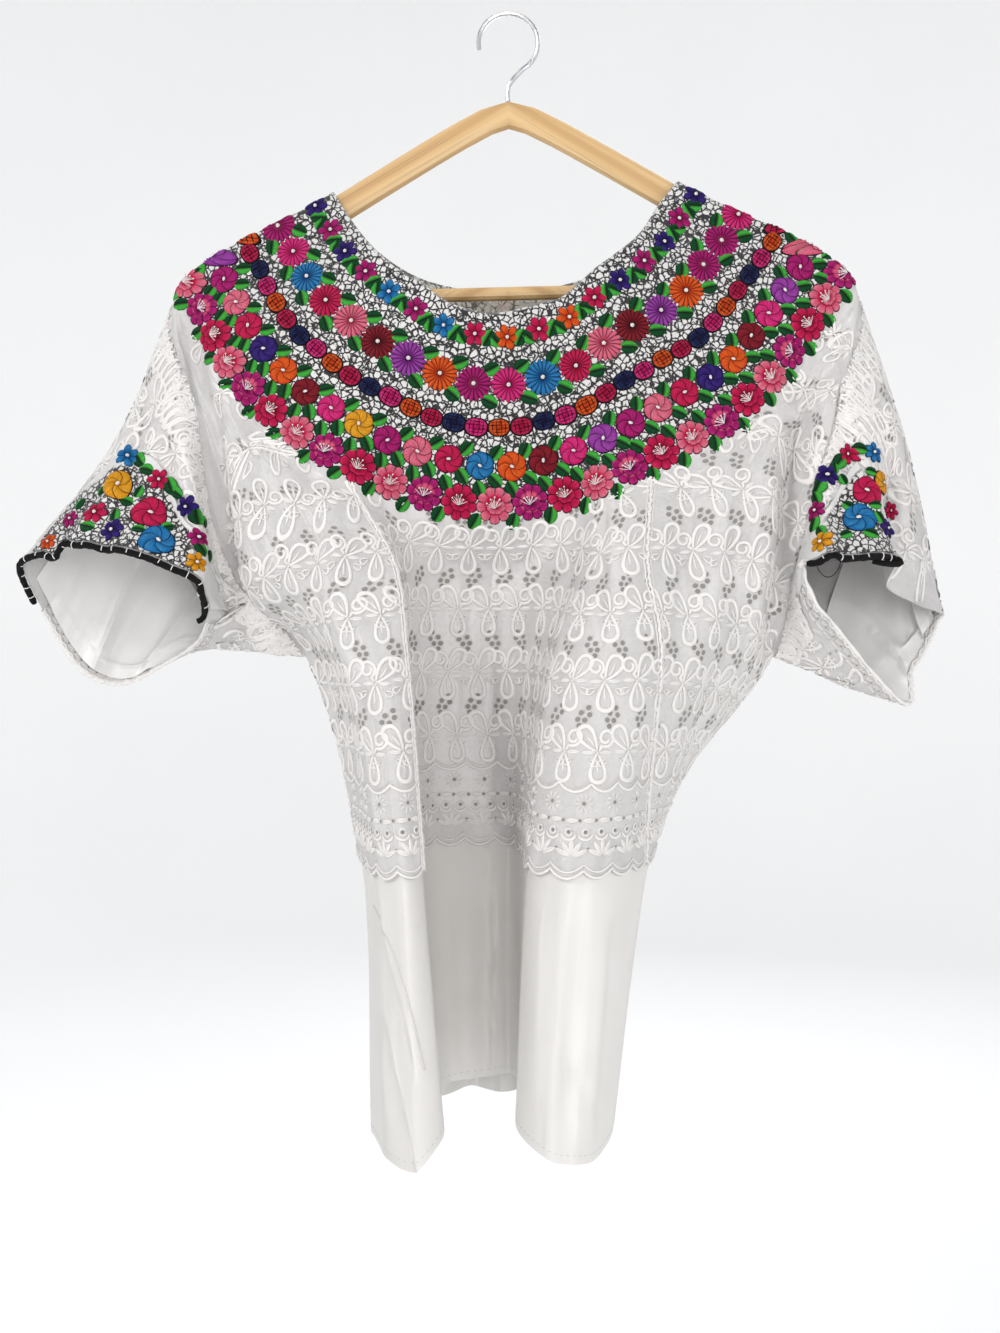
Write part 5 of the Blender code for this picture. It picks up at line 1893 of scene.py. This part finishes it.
def patch_flowers(side, field, material):
    """Flowers and leaves of a sleeve's patch."""
    library = {"small": small_flower(), "wheel": wheel()}
    stitches = Stitches()
    lift = GAP + PATCH

    def inside(rows, places):
        return (rows < field.last_row - 0.1) & (places > 0)

    for x, y, degrees, length in PATCH_LEAVES[side]:
        row, column = spot_in_photo(field, x, y)
        length *= PATCH_LEAF_SCALE
        shape = leaf(length).turned(shift=(-length / 2, 0))
        stitches.lay(field, shape, row, column, "leaf", lift=lift, inside=inside,
                     turn=turn_in_photo(field, row, column, degrees))
    for k, (kind, colour, x, y, size) in enumerate(PATCH_FLOWERS[side]):
        row, column = spot_in_photo(field, x, y)
        stitches.lay(field, library[kind], row, column, colour, lift=lift, inside=inside,
                     scale=size, turn=40.0 * k)
    return stitches.make(f"patch_{side}_flowers", material)


def make_stage():
    """Pale bowl round the blouse, soft lights, and the camera at the photograph's place."""
    profile = [(BOWL_FLAT * share, FLOOR_Z) for share in (0.0005, 0.25, 0.5, 0.75, 1)]
    for k in range(1, 13):
        angle = math.radians(90 * k / 12)
        profile.append((BOWL_FLAT + BOWL_ROUND * math.sin(angle),
                        FLOOR_Z + BOWL_ROUND * (1 - math.cos(angle))))
    profile.append((BOWL_FLAT + BOWL_ROUND, FLOOR_Z + BOWL_WALL))
    sides = 72
    angles = 2 * math.pi * np.arange(sides + 1) / sides
    points = np.array([[(r * math.cos(a), r * math.sin(a), z) for a in angles[:-1]]
                       for r, z in profile]).reshape(-1, 3) / MM
    faces = quads(numbered(len(profile), sides + 1, True), True)
    bowl = add_mesh("stage_bowl", points, faces, [stage_finish()])
    for name, place, aim, size, power, tint in LIGHTS:
        light = bpy.data.lights.new(name, "AREA")
        light.shape = "DISK"
        light.size, light.energy, light.color = size, power, tint
        lamp = new_object(name, light)
        lamp.location = place
        lamp.rotation_euler = (Vector(aim) - Vector(place)).to_track_quat("-Z", "Y").to_euler()
    world = bpy.data.worlds.new("soft_room")
    world.use_nodes = True
    background = world.node_tree.nodes["Background"].inputs
    background["Color"].default_value = (0.97, 0.98, 1.0, 1)
    background["Strength"].default_value = WORLD_LIGHT
    bpy.context.scene.world = world
    bpy.context.scene.view_settings.view_transform = "Standard"
    camera = bpy.data.cameras.new("camera")
    camera.sensor_width = SENSOR
    camera.lens = FOCAL_PX / FRAME_HEIGHT * SENSOR
    camera.clip_start, camera.clip_end = 0.01, 100
    holder = new_object("camera", camera)
    holder.location = CAMERA * MM
    holder.rotation_euler = (math.radians(90), 0, 0)
    bpy.context.scene.camera = holder


def seam_column(name):
    """Grid column of a fold of the front."""
    return RIDGE_STEPS + COLUMN_STEPS * [row[0] for row in FRONT].index(name)


def make_looks():
    """Every material of the blouse by its use."""
    looks = {use: cloth_finish(*values) for use, values in CLOTHS.items()}
    looks |= {use: ground_finish(*values) for use, values in GROUNDS.items()}
    looks |= {use: thread_finish(*values) for use, values in STRANDS.items()}
    looks["black"] = binding_finish()
    return looks


def make_yoke(halves, ring, split, looks):
    """The yoke's two cloths and the flowers on them."""
    rows = np.arange(ROW["edge"] + 1)
    for side, field, columns in halves:
        place = np.repeat(rows[:, None] / ROW["edge"], len(columns), 1)
        net = 1 - smooth_step((place - YOKE_RIM) / YOKE_RIM_FADE)
        cloth(f"yoke_{side}_cloth", f"yoke_{side}", "embroidered_yoke", field, rows, columns, 0,
              YOKE, [looks["ground"], looks["reverse"]], tint=net)
    for piece in embroider_yoke(ring, split, ring.last_column, looks["silk"]):
        dress(piece, "embroidered_yoke")


def make_panels(front, back, seams, looks):
    """The lace panels of the body, their stitches and their scalloped hem."""
    left, right = seams
    panels = (("front_left", front, (0, left), left),
              ("front", front, (left, right), left),
              ("front_right", front, (right, front.last_column), right),
              ("back", back, (0, back.last_column), back.last_column // 2))
    for name, field, columns, anchor in panels:
        places = hem_places(field, columns, anchor)
        cloth(f"lace_{name}", f"body_{name}", "lace", field, *places, 0, LACE, [looks["lace"]])
        stitches = Stitches()
        lace_relief(stitches, field, ROW["hem"], ROW["edge"] + BELOW_EDGE, columns, anchor,
                    LACE_LEVELS)
        add_border(stitches, field, columns, anchor)
        dress(stitches.make(f"lace_{name}_stitches", looks["satin"]), "lace")


def make_tail(halves, looks):
    """The plain under layer's cloths."""
    rows = np.arange(ROW["hem"] - ABOVE_HEM, ROW["tail"] + 1)
    for side, field, columns in halves:
        cloth(f"tail_{side}_cloth", f"tail_{side}", "under_cloth", field, rows, columns,
              UNDER_LIFT, UNDER_CLOTH, [looks["plain"]])


def make_sleeve(side, field, looks):
    """One sleeve with its lace, trims, patch, lining and binding."""
    cloth(f"sleeve_{side}_lace", f"sleeve_{side}", "lace", field, np.arange(field.last_row + 1),
          np.arange(field.last_column + 1), 0, LACE, [looks["lace"]], closed=True)
    stitches = Stitches()
    half = field.last_column // 2
    top = ABOVE_PATCH_STEPS - PATCH_REACH
    first, final = (c * RING_REFINE for c in PATCH_COLUMNS[side])
    bare = (top, first - 0.5, final + BARE_BESIDE[side])
    for columns in ((0, half), (half, 2 * half)):
        lace_relief(stitches, field, field.last_row, BELOW_ARMHOLE, columns, sum(columns) // 2,
                    SLEEVE_LEVELS, bare)
    bound = (BINDING_COLUMNS[side][1] * RING_REFINE + BINDING_LONGER[side] + 1,
             2 * half - BINDING_WRAP[side] - 1)
    add_trim(stitches, field, bound, False)
    add_trim(stitches, field, bound, True)
    dress(rolled_rim(side, field, bound, looks["satin"]), "lace")
    dress(stitches.make(f"sleeve_{side}_stitches", looks["satin"]), "lace")

    rows, columns = np.arange(top, field.last_row + 1), np.arange(first, final + 1)
    cloth(f"patch_{side}_cloth", f"patch_{side}", "embroidered_patch", field, rows, columns,
          GAP + PATCH, PATCH, [looks["ground"], looks["plain"]],
          tint=net_share(side, field, rows, columns))
    dress(patch_flowers(side, field, looks["silk"]), "embroidered_patch")

    first, final = (c * RING_REFINE for c in LINING_COLUMNS)
    # The lining's lighter colour is painted light inside the cuff
    cloth(f"lining_{side}_cloth", f"lining_{side}", "under_cloth", lining_field(field),
          np.arange(LINING_TOP, field.last_row - LINING_SHORT + 1), np.arange(first, final + 1),
          UNDER_LIFT, UNDER_CLOTH, [looks["lining"]])
    bind_cuff(side, field, looks["black"], looks["satin"])


def dress_hanger():
    """The hanger's own solids in wood and steel."""
    wood, steel = wood_finish(), steel_finish()
    for node, material in (("hanger_arms", wood), ("hanger_bar", wood), ("hanger_hook", steel)):
        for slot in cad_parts[node].material_slots:
            slot.material = material


def main():
    front, back, left, right = make_fields()
    looks = make_looks()
    satin = looks["satin"]
    halves = [(side, field, np.arange(field.last_column + 1))
              for side, field in (("front", front), ("back", back))]
    ring = extend_down(front, back, ROW["edge"] + BELOW_YOKE)
    seams = seam_column("seam_left"), seam_column("seam_right")
    make_yoke(halves, ring, front.last_column, looks)
    make_panels(front, back, seams, looks)
    make_tail(halves, looks)
    hem_stitching(front, back, satin)
    make_sleeve("left", left, looks)
    make_sleeve("right", right, looks)
    tubes = [tube for seam in seams for tube in corded_seam(front, seam)]
    dress(add_tubes("front_seam_cords", tubes, satin), "lace")
    neck = ring.points[0, :-1] - ring.normals[0, :-1] * YOKE / 2
    dress(add_tubes("neck_edge", [(neck, NECK_RADIUS, 8, True)], looks["ground"]),
          "embroidered_yoke")
    dress_hanger()
    make_stage()


main()
